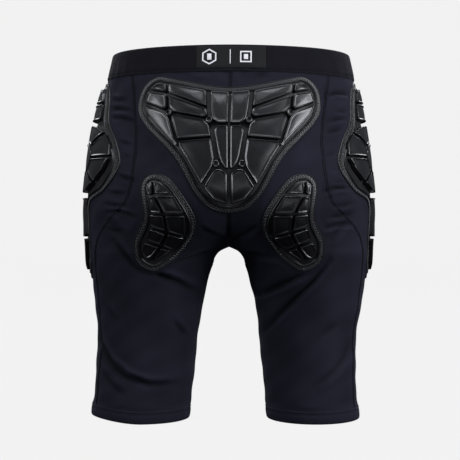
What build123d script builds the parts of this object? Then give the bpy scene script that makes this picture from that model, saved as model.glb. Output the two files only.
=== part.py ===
from build123d import *
from math import acos, asin, cos, pi, sin
import os

# Padded impact shorts, standing on their two leg hems as if worn, +Z up.
# The back of the shorts faces -Y, the wearer's left is -X.
# The origin is on the floor, midway between the legs, under the middle of the whole
# shorts from front to back. All sizes in millimetres.

# ---- Driving sizes -------------------------------------------------------------

INSEAM = 211.0              # floor to the fork of the legs
RISE = 236.0                # fork to the top of the waistband
HIP_HALF_WIDTH = 172.0      # widest half width of the fabric
SEAT_HALF_DEPTH = 118.0     # deepest half depth of the fabric
BODY_FORWARD = 17.5         # how far the legs' middle lies in front of the origin

FABRIC_THICKNESS = 1.2
HEM_HEIGHT = 15.0
HEM_THICKNESS = 2.0

WAISTBAND_HEIGHT = 31.0
WAISTBAND_PROUD = 0.8       # how far the band stands out past the fabric
BAND_LEAF = 0.8             # one leaf of the folded band
ELASTIC_THICKNESS = 1.4
ELASTIC_CLEARANCE = 0.4     # round the elastic, inside the fold

PATCH_WIDTH = 80.0
PATCH_HEIGHT = 25.0
PATCH_THICKNESS = 0.6
MARK_THICKNESS = 0.3
MARK_SIZE = 8.0             # half the height of a mark
MARK_SPACING = 20.0

SKIN_THICKNESS = 1.2        # moulded skin of a pad, with its sewn flange
BLOCK_THICKNESS = 6.0       # raised blocks on the skin
SEAT_BLOCK_THICKNESS = 5.0
GROOVE_WIDTH = 3.0          # between neighbouring blocks
LAYER_CLEARANCE = 0.3       # between pieces that lie on each other

THREAD_THICKNESS = 0.4
SEAM_WIDTH = 4.0

TAILBONE_TIP_RISE = 41.0    # fork to the lower tip of the tailbone pad
SEAT_PAD_DROP = 27.0        # fork to the lower end of a seat pad
HIP_PAD_DROP = 39.0         # fork to the lower end of a hip pad

GUSSET_TURN = 0.72          # how far round the leg its edge goes, in radians
GUSSET_DROP = 21.0          # fork to the lower points of the gusset
GUSSET_RISE = 10.0          # fork to its front and back points

TOP = INSEAM + RISE
BAND_BOTTOM = TOP - WAISTBAND_HEIGHT
STATION_SPACING = 14.0      # between the sections that a long piece is lofted through

# Legs: share of the inseam, taper in from the hip, half gap between the legs,
# half depth less than the seat, middle front to back from the legs' middle.
LEG_STATIONS = [
    (0.00, 7.0, 48.0, 55.0, 3.0),
    (0.23, 11.0, 43.5, 53.0, 4.0),
    (0.46, 11.5, 38.5, 49.0, 5.0),
    (0.69, 6.4, 32.0, 43.0, 4.0),
    (0.81, 3.5, 26.0, 39.0, 2.0),
    (0.91, 2.0, 20.0, 34.0, 0.0),
    (0.97, 1.7, 12.5, 30.0, -2.0),
    (1.00, 1.6, 0.0, 28.0, -3.0),
]

# Trunk: share of the rise, taper in from the hip, how far apart the two lobes of
# the seat stand as a share of the half width, half depth less than the seat,
# middle front to back.
TRUNK_STATIONS = [
    (0.06, 1.0, 0.385, 21.0, -6.0),
    (0.12, 0.5, 0.250, 12.5, -9.0),
    (0.20, 0.0, 0.157, 5.0, -12.0),
    (0.29, 1.0, 0.088, 0.5, -13.0),
    (0.40, 3.5, 0.036, 0.0, -12.5),
    (0.55, 8.0, 0.000, 4.0, -9.0),
    (0.72, 15.0, 0.000, 11.0, -4.0),
    (0.88, 21.0, 0.000, 17.0, -1.0),
    (1.00, 27.0, 0.000, 20.0, 0.0),
]


def body_stations():
    """Height, middle x, half width, half depth and middle y, from the hem up."""
    stations = []
    for share, taper, gap, less, middle in LEG_STATIONS:
        outer = HIP_HALF_WIDTH - taper
        depth = SEAT_HALF_DEPTH - less
        middle += BODY_FORWARD
        stations.append((share * INSEAM, (outer + gap) / 2, (outer - gap) / 2, depth, middle))
    for share, taper, spread, less, middle in TRUNK_STATIONS:
        outer = HIP_HALF_WIDTH - taper
        lobe = spread * outer
        depth = SEAT_HALF_DEPTH - less
        middle += BODY_FORWARD
        stations.append((INSEAM + share * RISE, lobe, outer - lobe, depth, middle))
    return stations


def smooth(rows, height):
    """The values at one height, on a smooth curve through rows that begin with a height."""
    last = len(rows) - 1
    low = max(i for i in range(last) if rows[i][0] <= height or i == 0)
    span = rows[low + 1][0] - rows[low][0]
    t = (height - rows[low][0]) / span

    def slope(i, k):
        before, after = max(i - 1, 0), min(i + 1, last)
        return (rows[after][k] - rows[before][k]) / (rows[after][0] - rows[before][0]) * span

    values = []
    for k in range(1, len(rows[0])):
        start, end = rows[low][k], rows[low + 1][k]
        values.append(
            start * (1 + 2 * t) * (1 - t) ** 2
            + slope(low, k) * t * (1 - t) ** 2
            + end * t * t * (3 - 2 * t)
            + slope(low + 1, k) * t * t * (t - 1)
        )
    return values


STATIONS = body_stations()


def body_point(height, angle, out):
    """The point of the +X half of the body at an angle round it, moved outwards."""
    middle_x, half_width, half_depth, middle_y = smooth(STATIONS, height)
    x = middle_x + (half_width + out) * cos(angle)
    y = middle_y + (half_depth + out) * sin(angle)
    return x, y


def angle_at_x(height, out, x, side):
    """Where the surface passes an x, behind (-1) or in front (+1).

    It stops at the inner side of the leg if the leg doesn't reach that x."""
    middle_x, half_width, _, _ = smooth(STATIONS, height)
    share = (x - middle_x) / (half_width + out)
    return side * acos(min(1.0, max(-1.0, share)))


def angle_at_y(height, out, y):
    """Where the outer side of the body passes a y counted from the legs' middle."""
    _, _, half_depth, middle_y = smooth(STATIONS, height)
    return asin((BODY_FORWARD + y - middle_y) / (half_depth + out))


def spaced(low, high, spacing=STATION_SPACING):
    """Heights from one to another, evenly spaced."""
    count = max(2, round((high - low) / spacing))
    return [low + (high - low) * i / count for i in range(count + 1)]


ARC_POINTS = 9


def strip(heights, start, end, inner, outer):
    """A thin piece on the body, lofted through its sections.

    start and end give the angle of each edge from a height and a distance out."""
    with BuildPart() as piece:
        for height in heights:
            with BuildSketch(Plane.XY.offset(height)):
                with BuildLine():
                    arcs = []
                    for out in (outer, inner):
                        first, last = start(height, out), end(height, out)
                        steps = [first + (last - first) * i / (ARC_POINTS - 1) for i in range(ARC_POINTS)]
                        arcs.append(Spline([body_point(height, angle, out) for angle in steps]))
                    Line(arcs[0] @ 0, arcs[1] @ 0)
                    Line(arcs[0] @ 1, arcs[1] @ 1)
                make_face()
        loft(ruled=True)
    return piece.part


def ring(low, high, inner, outer):
    """A closed band round one leg or half the waist, with its sections split at x = 0."""
    with BuildPart() as band:
        for out, mode in ((outer, Mode.ADD), (inner, Mode.SUBTRACT)):
            for height in spaced(low, high):
                middle_x, half_width, half_depth, middle_y = smooth(STATIONS, height)
                with BuildSketch(Plane.XY.offset(height)):
                    with Locations((middle_x, middle_y)):
                        Ellipse(half_width + out, half_depth + out)
            loft(ruled=True, mode=mode)
    return band.part


def both_halves(part):
    """A +X half joined to its mirror image."""
    with BuildPart() as whole:
        add(part)
        mirror(about=Plane.YZ)
    return whole.part


def save(part, name):
    """Label a finished piece and write it."""
    part.label = name
    export_step(part, f"parts/{name}.step")


def save_pair(part, name):
    """Write a +X piece as the right one and its mirror image as the left one."""
    save(part, f"{name}_right")
    save(part.mirror(Plane.YZ), f"{name}_left")


os.makedirs("parts", exist_ok=True)


# ---- Fabric panels ----------------------------------------------------------------

# Princess seams, behind and in front: height above or below the fork, x in from the hip.
BACK_PRINCESS = [
    (-INSEAM, 14.0),
    (-120.0, 19.0),
    (-70.0, 15.0),
    (-22.0, 10.0),
    (12.0, 16.0),
    (34.0, 32.0),
    (56.0, 53.0),
    (112.0, 64.0),
    (150.0, 62.0),
    (RISE, 52.0),
]
FRONT_PRINCESS = [
    (-INSEAM, 22.0),
    (-120.0, 28.0),
    (-30.0, 28.0),
    (40.0, 45.0),
    (120.0, 62.0),
    (RISE, 66.0),
]


def seam_edge(seam, side, shift=0.0):
    """The edge of a panel along a princess seam."""

    def angle(height, out):
        x = HIP_HALF_WIDTH - smooth(seam, height - INSEAM)[0] + shift
        return angle_at_x(height, out, x, side)

    return angle


def gusset_edge(side):
    """The inner edge of the front and back panels.

    It follows the inseam, goes round the gusset and then up the middle."""

    def angle(height, out):
        along = (height - (INSEAM - GUSSET_DROP)) / (GUSSET_DROP + GUSSET_RISE)
        past_inseam = GUSSET_TURN * min(1.0, max(0.0, along))
        middle = abs(angle_at_x(height, out, 0.0, side))
        return side * min(pi - past_inseam, middle)

    return angle


def round_the_inside(edge):
    """An angle in front of the body, carried on past the inner side of the leg."""

    def angle(height, out):
        return edge(height, out) - 2 * pi

    return angle


def middle_edge(side, x=0.0):
    """The edge along the middle of the body, or beside it."""

    def angle(height, out):
        return angle_at_x(height, out, x, side)

    return angle


def inseam_edge(side, half_width=0.0):
    """The inner side of the leg, or an edge beside it."""

    def angle(height, out):
        _, _, half_depth, _ = smooth(STATIONS, height)
        return side * (pi - half_width / half_depth)

    return angle


panel_heights = spaced(HEM_HEIGHT, INSEAM - GUSSET_DROP)
panel_heights += spaced(INSEAM - GUSSET_DROP, INSEAM, 5.0)[1:]
panel_heights += spaced(INSEAM, INSEAM + GUSSET_RISE, 5.0)[1:]
panel_heights += spaced(INSEAM + GUSSET_RISE, BAND_BOTTOM)[1:]

back_panel = strip(
    panel_heights, seam_edge(BACK_PRINCESS, -1), gusset_edge(-1), -FABRIC_THICKNESS, 0
)
front_panel = strip(
    panel_heights, seam_edge(FRONT_PRINCESS, 1), gusset_edge(1), -FABRIC_THICKNESS, 0
)
side_panel = strip(
    panel_heights,
    seam_edge(BACK_PRINCESS, -1),
    seam_edge(FRONT_PRINCESS, 1),
    -FABRIC_THICKNESS,
    0,
)
save_pair(back_panel, "back_panel")
save_pair(front_panel, "front_panel")
save_pair(side_panel, "side_panel")

# Gusset: a diamond under the fork, its lower points down the insides of the legs. It is
# lofted from back to front, through sections across the body.
GUSSET_TIP = 3.0            # its front and back points end this far below their top
gusset_heights = spaced(INSEAM - GUSSET_DROP, INSEAM + GUSSET_RISE - GUSSET_TIP, 3.0)


def underside(x, y, out):
    """The height of the body's underside over a point of the floor."""
    low, high = INSEAM - 2 * GUSSET_DROP, INSEAM + 3 * GUSSET_RISE
    while high - low > 0.001:
        height = (low + high) / 2
        middle_x, half_width, half_depth, middle_y = smooth(STATIONS, height)
        across = (abs(x) - middle_x) / (half_width + out)
        along = (y - middle_y) / (half_depth + out)
        if across**2 + along**2 < 1:
            high = height
        else:
            low = height
    return high


def gusset_rows():
    """From back to front: y, and the half width of the gusset there."""
    rows = []
    for side, heights in ((-1, reversed(gusset_heights)), (1, gusset_heights[1:])):
        for height in heights:
            x, y = body_point(height, gusset_edge(side)(height, 0), 0)
            rows.append((y, x - LAYER_CLEARANCE))
    return rows


with BuildPart() as gusset:
    for y, half_width in gusset_rows():
        with BuildSketch(Plane.XZ.offset(-y)):
            with BuildLine():
                across = [half_width * i / 4 for i in range(-4, 5)]
                lower = [(x, underside(x, y, 0)) for x in across]
                upper = [(x, underside(x, y, -FABRIC_THICKNESS)) for x in reversed(across)]
                Spline(lower)
                Line(lower[-1], upper[0])
                Spline(upper)
                Line(upper[-1], lower[0])
            make_face()
    loft(ruled=True)
save(gusset.part, "crotch_gusset")


# ---- Leg hems: the cloth turned up inside ---------------------------------------------

save_pair(ring(0, HEM_HEIGHT, -HEM_THICKNESS, 0), "leg_hem")


# ---- Waistband: a band folded over its elastic ------------------------------------------

fold = ELASTIC_THICKNESS + 2 * ELASTIC_CLEARANCE
with BuildPart() as waistband:
    add(ring(BAND_BOTTOM, TOP, -fold - BAND_LEAF, WAISTBAND_PROUD))
    add(ring(BAND_BOTTOM, TOP - BAND_LEAF, -fold, 0), mode=Mode.SUBTRACT)
save(waistband.part, "waistband")
elastic = ring(
    BAND_BOTTOM + ELASTIC_CLEARANCE,
    TOP - BAND_LEAF - ELASTIC_CLEARANCE,
    ELASTIC_CLEARANCE - fold,
    -ELASTIC_CLEARANCE,
)
save(elastic, "waistband_elastic")

# Patch at the centre back, with plain raised marks and a bar between them.
patch_middle = (BAND_BOTTOM + TOP) / 2
patch_face = WAISTBAND_PROUD + LAYER_CLEARANCE + PATCH_THICKNESS
patch_heights = spaced(patch_middle - PATCH_HEIGHT / 2, patch_middle + PATCH_HEIGHT / 2)
patch_half = strip(
    patch_heights,
    middle_edge(-1),
    middle_edge(-1, PATCH_WIDTH / 2),
    WAISTBAND_PROUD + LAYER_CLEARANCE,
    patch_face,
)
save(both_halves(patch_half), "waist_patch")


def surface_plane(height, angle, out):
    """A plane that touches the body, grown outwards, at one point."""
    step = 1.0
    x, y = body_point(height, angle, out)
    up_x, up_y = body_point(height + step, angle, out)
    _, half_width, half_depth, _ = smooth(STATIONS, height)
    along = Vector(-half_width * sin(angle), half_depth * cos(angle), 0)
    upwards = Vector(up_x - x, up_y - y, step)
    return Plane(origin=(x, y, height), x_dir=along, z_dir=along.cross(upwards))


def on_plane(plane, point):
    """A point of space dropped on a plane, in the plane's own x and y."""
    local = plane.to_local_coords(Vector(*point))
    return local.X, local.Y


with BuildPart() as patch_marks:
    for x, sides in ((-MARK_SPACING, 6), (0, 0), (MARK_SPACING, 4)):
        mark_angle = angle_at_x(patch_middle, patch_face, abs(x), -1)
        place = surface_plane(patch_middle, mark_angle, patch_face + LAYER_CLEARANCE)
        if x < 0:
            place = Plane(
                origin=(-place.origin.X, place.origin.Y, place.origin.Z),
                x_dir=(place.x_dir.X, -place.x_dir.Y, 0),
                z_dir=(-place.z_dir.X, place.z_dir.Y, place.z_dir.Z),
            )
        with BuildSketch(place):
            if sides:
                RegularPolygon(MARK_SIZE, sides, rotation=45)
                RegularPolygon(MARK_SIZE - 2.0, sides, rotation=45, mode=Mode.SUBTRACT)
            else:
                Rectangle(0.8, 2 * MARK_SIZE)
        extrude(amount=MARK_THICKNESS)
save(patch_marks.part, "patch_marks")


# ---- Impact pads: a moulded skin sewn on by its flange, and raised blocks ----------------

skin_in = LAYER_CLEARANCE
skin_out = LAYER_CLEARANCE + SKIN_THICKNESS
block_base = skin_out + LAYER_CLEARANCE


def outline_edge(outline, lift, column, find_angle):
    """One edge of a pad: rows of height above its lower end and two places across."""

    def angle(height, out):
        return find_angle(height, out, smooth(outline, height - lift)[column])

    return angle


def behind(height, out, x):
    """The angle of an x on the back of the body, no further in than the middle."""
    return angle_at_x(height, out, max(0.0, x), -1)


def pad_skin(outline, lift, find_angle):
    """The skin of a pad, from its outline."""
    heights = spaced(lift + outline[0][0], lift + outline[-1][0], 6.0)
    near = outline_edge(outline, lift, 0, find_angle)
    far = outline_edge(outline, lift, 1, find_angle)
    return strip(heights, near, far, skin_in, skin_out)


def pad_blocks(polygons, lift, find_angle, thickness):
    """Flat-topped blocks, one for each polygon of places across and heights."""
    with BuildPart() as blocks:
        for polygon in polygons:
            across = sum(point[0] for point in polygon) / len(polygon)
            height = lift + sum(point[1] for point in polygon) / len(polygon)
            place = surface_plane(height, find_angle(height, block_base, across), block_base)
            corners = []
            for point in polygon:
                level = lift + point[1]
                corner_angle = find_angle(level, block_base, point[0])
                x, y = body_point(level, corner_angle, block_base)
                corners.append(on_plane(place, (x, y, level)))
            with BuildSketch(place):
                with BuildLine():
                    Polyline(corners, close=True)
                make_face()
                offset(amount=-GROOVE_WIDTH / 2, kind=Kind.INTERSECTION, mode=Mode.REPLACE)
            extrude(amount=thickness, taper=12)
    return blocks.part


# Tailbone pad: a shield with two horns, half of it drawn. Height above its tip, and the
# x of its inner and outer edges.
TAILBONE_OUTLINE = [
    (0.0, 0.0, 14.0),
    (7.0, 0.0, 24.0),
    (22.0, 0.0, 39.0),
    (54.0, 0.0, 56.5),
    (69.0, 0.0, 67.0),
    (100.0, 0.0, 96.5),
    (116.0, 0.0, 104.5),
    (131.0, 0.0, 106.0),
    (144.5, 0.0, 102.0),
    (148.0, 26.0, 99.0),
    (154.0, 56.0, 93.0),
    (159.5, 74.0, 82.0),
]
TAILBONE_BLOCKS = [
    [(0, 8), (19, 13), (32, 27), (14.5, 54), (0, 45)],
    [(14.5, 54), (32, 27), (48.6, 59), (56.5, 71), (58, 80), (18.5, 83)],
    [(18.5, 83), (58, 80), (68, 113), (22, 104)],
    [(58, 80), (56.5, 71), (75, 90), (95, 114), (98, 126), (68, 113)],
    [(22, 104), (68, 113), (70, 136), (24, 117)],
    [(24, 117), (70, 136), (72, 152), (26, 141)],
    [(68, 113), (98, 126), (93, 141), (70, 136)],
    [(70, 136), (93, 141), (86, 149), (72, 152)],
    [(0, 98), (21, 98), (24, 117), (26, 141), (0, 139)],
    [(0, 45), (14.5, 54), (21, 98), (0, 98)],
]
tailbone_lift = INSEAM + TAILBONE_TIP_RISE
save(both_halves(pad_skin(TAILBONE_OUTLINE, tailbone_lift, behind)), "tailbone_pad_skin")
tailbone_blocks = pad_blocks(TAILBONE_BLOCKS, tailbone_lift, behind, BLOCK_THICKNESS)
save(both_halves(tailbone_blocks), "tailbone_pad_blocks")

# Seat pads: leaning beans. Height above the lower end, and the x of both edges.
SEAT_OUTLINE = [
    (0.0, 82.0, 94.0),
    (4.0, 75.0, 102.0),
    (20.0, 58.0, 111.5),
    (38.0, 43.5, 107.5),
    (58.0, 38.0, 99.5),
    (80.0, 47.0, 100.0),
    (100.0, 61.0, 101.0),
    (111.0, 76.0, 90.0),
]
SEAT_BLOCKS = [
    [(86, 108), (75, 103), (61, 88.5), (84, 88)],
    [(86, 108), (84, 88), (93, 86.5), (96, 100)],
    [(84, 88), (61, 88.5), (48.5, 67), (73, 67.5)],
    [(84, 88), (73, 67.5), (91, 68), (93, 86.5)],
    [(73, 67.5), (48.5, 67), (49.5, 42), (70.5, 48)],
    [(73, 67.5), (70.5, 48), (90.5, 53), (91, 68)],
    [(70.5, 48), (49.5, 42), (53, 37.5), (66, 26.5), (79, 32)],
    [(70.5, 48), (79, 32), (97, 37), (90.5, 53)],
    [(79, 32), (66, 26.5), (75, 19), (87, 10.5), (89, 18)],
    [(79, 32), (89, 18), (98, 12.5), (103.5, 24), (97, 37)],
]
seat_lift = INSEAM - SEAT_PAD_DROP
save_pair(pad_skin(SEAT_OUTLINE, seat_lift, behind), "seat_pad_skin")
seat_blocks = pad_blocks(SEAT_BLOCKS, seat_lift, behind, SEAT_BLOCK_THICKNESS)
save_pair(seat_blocks, "seat_pad_blocks")

# Hip pads: three lobes down the side. Height above the lower end, and the y of both edges.
HIP_OUTLINE = [
    (0.0, -4.0, 8.0),
    (8.0, -13.0, 16.0),
    (22.0, -18.0, 21.0),
    (60.0, -31.0, 25.5),
    (86.0, -37.0, 26.5),
    (97.0, -49.0, 31.0),
    (108.0, -76.0, 38.0),
    (134.0, -91.0, 50.0),
    (163.0, -79.0, 42.0),
    (192.0, -56.0, 21.0),
    (218.0, -43.0, 17.5),
    (231.0, -36.0, 11.0),
    (239.0, -22.0, -4.0),
]
HIP_LOBE_MIDDLE = (-21.0, 145.0)
HIP_LOBE_WIDTH = 60.0
HIP_LOBE_HEIGHT = 42.0
HIP_DISC_RADIUS = 20.0
HIP_SECTORS = 8


def on_lobe(turn, reach):
    """A point of the round middle lobe: a share of a turn, and of the way out."""
    return (
        HIP_LOBE_MIDDLE[0] + reach * HIP_LOBE_WIDTH * cos(2 * pi * turn),
        HIP_LOBE_MIDDLE[1] + reach * HIP_LOBE_HEIGHT * sin(2 * pi * turn),
    )


disc_reach = HIP_DISC_RADIUS / HIP_LOBE_HEIGHT
HIP_BLOCKS = [
    [(-44, 190), (14, 190), (12, 212), (-38, 212)],
    [(-38, 212), (12, 212), (3, 229), (-14, 233), (-30, 228)],
    [(-4, 100), (-33, 100), (-26, 51), (-2, 51)],
    [(-4, 100), (-2, 51), (20, 51), (20, 100)],
    [(-2, 51), (-26, 51), (-13, 18), (1, 8)],
    [(-2, 51), (1, 8), (14, 18), (20, 51)],
    [on_lobe(i / 12, disc_reach) for i in range(12)],
]
for i in range(HIP_SECTORS):
    turn, half, full = i / HIP_SECTORS, (i + 0.5) / HIP_SECTORS, (i + 1) / HIP_SECTORS
    HIP_BLOCKS.append(
        [
            on_lobe(turn, disc_reach),
            on_lobe(turn, 1.0),
            on_lobe(half, 1.0),
            on_lobe(full, 1.0),
            on_lobe(full, disc_reach),
        ]
    )
hip_lift = INSEAM - HIP_PAD_DROP
save_pair(pad_skin(HIP_OUTLINE, hip_lift, angle_at_y), "hip_pad_skin")
save_pair(pad_blocks(HIP_BLOCKS, hip_lift, angle_at_y, BLOCK_THICKNESS), "hip_pad_blocks")


# ---- Seam stitching on the fabric ---------------------------------------------------------

thread_in = LAYER_CLEARANCE
thread_out = LAYER_CLEARANCE + THREAD_THICKNESS
half_seam = SEAM_WIDTH / 2
long_heights = spaced(HEM_HEIGHT, BAND_BOTTOM)

for name, seam, side in (("back_seam", BACK_PRINCESS, -1), ("front_seam", FRONT_PRINCESS, 1)):
    near, far = seam_edge(seam, side, -half_seam), seam_edge(seam, side, half_seam)
    save_pair(strip(long_heights, near, far, thread_in, thread_out), name)

fork_top = INSEAM + GUSSET_RISE + SEAM_WIDTH
tailbone_top = tailbone_lift + TAILBONE_OUTLINE[8][0]
with BuildPart() as centre_back_seam:
    for low, high in ((fork_top, tailbone_lift - 1.0), (tailbone_top + 4.0, BAND_BOTTOM)):
        add(strip(spaced(low, high), middle_edge(-1), middle_edge(-1, half_seam), thread_in, thread_out))
save(both_halves(centre_back_seam.part), "centre_back_seam")

centre_front_seam = strip(
    spaced(fork_top, BAND_BOTTOM), middle_edge(1), middle_edge(1, half_seam), thread_in, thread_out
)
save(both_halves(centre_front_seam), "centre_front_seam")

inseam = strip(
    spaced(HEM_HEIGHT, INSEAM - GUSSET_DROP),
    inseam_edge(-1, half_seam),
    round_the_inside(inseam_edge(1, half_seam)),
    thread_in,
    thread_out,
)
save_pair(inseam, "inseam")
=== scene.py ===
import math

import bmesh
import bpy
import numpy as np
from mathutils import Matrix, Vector


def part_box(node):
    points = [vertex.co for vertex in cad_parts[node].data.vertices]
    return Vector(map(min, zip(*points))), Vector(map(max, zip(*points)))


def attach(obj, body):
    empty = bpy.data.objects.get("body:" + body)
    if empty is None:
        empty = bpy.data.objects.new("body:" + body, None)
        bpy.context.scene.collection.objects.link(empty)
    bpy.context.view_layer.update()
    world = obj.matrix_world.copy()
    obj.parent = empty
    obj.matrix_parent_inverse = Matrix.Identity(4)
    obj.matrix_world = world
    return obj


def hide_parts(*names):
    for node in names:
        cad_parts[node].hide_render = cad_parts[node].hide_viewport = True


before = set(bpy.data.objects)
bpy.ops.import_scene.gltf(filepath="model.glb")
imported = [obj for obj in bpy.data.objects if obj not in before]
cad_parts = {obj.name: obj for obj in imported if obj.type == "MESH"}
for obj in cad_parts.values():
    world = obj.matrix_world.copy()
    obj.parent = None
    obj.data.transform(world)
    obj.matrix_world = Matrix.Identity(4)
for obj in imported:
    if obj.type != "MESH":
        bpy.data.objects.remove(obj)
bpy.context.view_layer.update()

bl_info = {
    "name": "Padded Impact Shorts",
    "version": (1, 0, 0),
    "blender": (4, 5, 0),
    "location": "View3D > Sidebar > Shorts",
    "description": "Models stretch-knit shorts with moulded impact pads round a packed frame",
    "category": "Object",
}

MM = 0.001
MIRROR = np.array([-1.0, 1.0, 1.0])
BODY = "root"

# ---- The body inside the shorts, in millimetres ----------------------------------------

FORK = 211.0                                    # floor to the fork of the legs
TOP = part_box("waistband")[1][2] / MM
BAND_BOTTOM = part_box("waistband")[0][2] / MM
HEM_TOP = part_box("leg_hem_right")[1][2] / MM
HIP = 172.0                                     # widest half width of the fabric
SEAT_DEPTH = 118.0
FORWARD = 17.5                                  # how far the legs' middle is in front of the origin
RISE = TOP - FORK

# Share of the inseam, taper in from the hip, half gap, depth less than the seat, middle y.
LEG_STATIONS = [
    (0.00, 7.0, 48.0, 55.0, 3.0),
    (0.23, 11.0, 43.5, 53.0, 4.0),
    (0.46, 11.5, 38.5, 49.0, 5.0),
    (0.69, 6.4, 32.0, 43.0, 4.0),
    (0.81, 3.5, 26.0, 39.0, 2.0),
    (0.91, 2.0, 20.0, 34.0, 0.0),
    (0.97, 1.7, 12.5, 30.0, -2.0),
    (1.00, 1.6, 0.0, 28.0, -3.0),
]
# Share of the rise, taper in from the hip, spread of the seat's lobes, depth less, middle y.
TRUNK_STATIONS = [
    (0.06, 1.0, 0.385, 21.0, -6.0),
    (0.12, 0.5, 0.250, 12.5, -9.0),
    (0.20, 0.0, 0.157, 5.0, -12.0),
    (0.29, 1.0, 0.088, 0.5, -13.0),
    (0.40, 3.5, 0.036, 0.0, -12.5),
    (0.55, 8.0, 0.000, 4.0, -9.0),
    (0.72, 15.0, 0.000, 11.0, -4.0),
    (0.88, 21.0, 0.000, 17.0, -1.0),
    (1.00, 27.0, 0.000, 20.0, 0.0),
]


def body_stations():
    """Height, middle x, half width, half depth and middle y, from the hem up."""
    rows = []
    for share, taper, gap, less, middle in LEG_STATIONS:
        outer = HIP - taper
        rows.append(
            (share * FORK, (outer + gap) / 2, (outer - gap) / 2, SEAT_DEPTH - less, FORWARD + middle)
        )
    for share, taper, spread, less, middle in TRUNK_STATIONS:
        outer = HIP - taper
        lobe = spread * outer
        rows.append((FORK + share * RISE, lobe, outer - lobe, SEAT_DEPTH - less, FORWARD + middle))
    return np.array(rows)


def smooth(rows, height):
    """Values at some heights, on smooth curves through rows that begin with a height."""
    rows = np.asarray(rows, float)
    height = np.asarray(height, float)
    knots, values = rows[:, 0], rows[:, 1:]
    last = len(knots) - 1
    low = np.clip(np.searchsorted(knots, height, side="right") - 1, 0, last - 1)
    before = np.maximum(np.arange(last + 1) - 1, 0)
    after = np.minimum(np.arange(last + 1) + 1, last)
    slopes = (values[after] - values[before]) / (knots[after] - knots[before])[:, None]
    span = (knots[low + 1] - knots[low])[..., None]
    t = (height - knots[low])[..., None] / span
    return (
        values[low] * (1 + 2 * t) * (1 - t) ** 2
        + slopes[low] * span * t * (1 - t) ** 2
        + values[low + 1] * t * t * (3 - 2 * t)
        + slopes[low + 1] * span * t * t * (t - 1)
    )


STATIONS = body_stations()


def on_body(height, angle, out=0.0):
    """Points of the +X half of the body, moved outwards by a distance."""
    row = smooth(STATIONS, height)
    x = row[..., 0] + (row[..., 1] + out) * np.cos(angle)
    y = row[..., 3] + (row[..., 2] + out) * np.sin(angle)
    return np.stack([x, y, np.broadcast_to(height, x.shape)], axis=-1)


def body_normal(height, angle):
    """Outward unit normals of the body."""
    step = 0.5
    row = smooth(STATIONS, height)
    along = np.stack([-row[..., 1] * np.sin(angle), row[..., 2] * np.cos(angle), 0 * row[..., 0]], -1)
    upwards = on_body(height + step, angle) - on_body(height - step, angle)
    normal = np.cross(along, upwards)
    return normal / np.linalg.norm(normal, axis=-1, keepdims=True)


def angle_at_x(height, x, side):
    """Where the surface passes an x, behind (-1) or in front (+1), as far as the leg reaches."""
    row = smooth(STATIONS, height)
    share = (x - row[..., 0]) / row[..., 1]
    return side * np.arccos(np.clip(share, -1.0, 1.0))


def angle_at_y(height, y):
    """Where the outer side of the body passes a y counted from the legs' middle."""
    row = smooth(STATIONS, height)
    return np.arcsin(np.clip((FORWARD + y - row[..., 3]) / row[..., 2], -1.0, 1.0))


def back_normal(across, height):
    """Outward normals at places seen from behind, on both sides of x = 0."""
    normal = body_normal(height, angle_at_x(height, np.abs(across), -1))
    normal[..., 0] *= np.sign(across)
    return normal


def back_point(across, height, lift):
    """Places seen from behind, put on the back of the body and lifted off it."""
    point = on_body(height, angle_at_x(height, np.abs(across), -1))
    point[..., 0] = across
    return point + back_normal(across, height) * np.asarray(lift)[..., None]


# ---- Seams of the fabric ---------------------------------------------------------------

# Height above or below the fork, x in from the hip.
BACK_PRINCESS = [
    (-FORK, 14.0),
    (-120.0, 19.0),
    (-70.0, 15.0),
    (-22.0, 10.0),
    (12.0, 16.0),
    (34.0, 32.0),
    (56.0, 53.0),
    (112.0, 64.0),
    (150.0, 62.0),
    (RISE, 52.0),
]
FRONT_PRINCESS = [
    (-FORK, 22.0),
    (-120.0, 28.0),
    (-30.0, 28.0),
    (40.0, 45.0),
    (120.0, 62.0),
    (RISE, 66.0),
]
GUSSET_TURN = 0.72
GUSSET_DROP = 21.0
GUSSET_RISE = 10.0


def seam_edge(seam, side):
    """The edge of a panel along a princess seam."""
    return lambda height: angle_at_x(height, HIP - smooth(seam, height - FORK)[..., 0], side)


def gusset_edge(side):
    """Down the inseam, round the gusset and up the middle."""

    def angle(height):
        along = np.clip((height - FORK + GUSSET_DROP) / (GUSSET_DROP + GUSSET_RISE), 0.0, 1.0)
        middle = np.abs(angle_at_x(height, 0.0, side))
        return side * np.minimum(math.pi - GUSSET_TURN * along, middle)

    return angle


# ---- Pads: outlines and blocks ---------------------------------------------------------

TAILBONE_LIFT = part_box("tailbone_pad_skin")[0][2] / MM
SEAT_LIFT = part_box("seat_pad_skin_right")[0][2] / MM
HIP_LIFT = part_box("hip_pad_skin_right")[0][2] / MM

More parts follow.
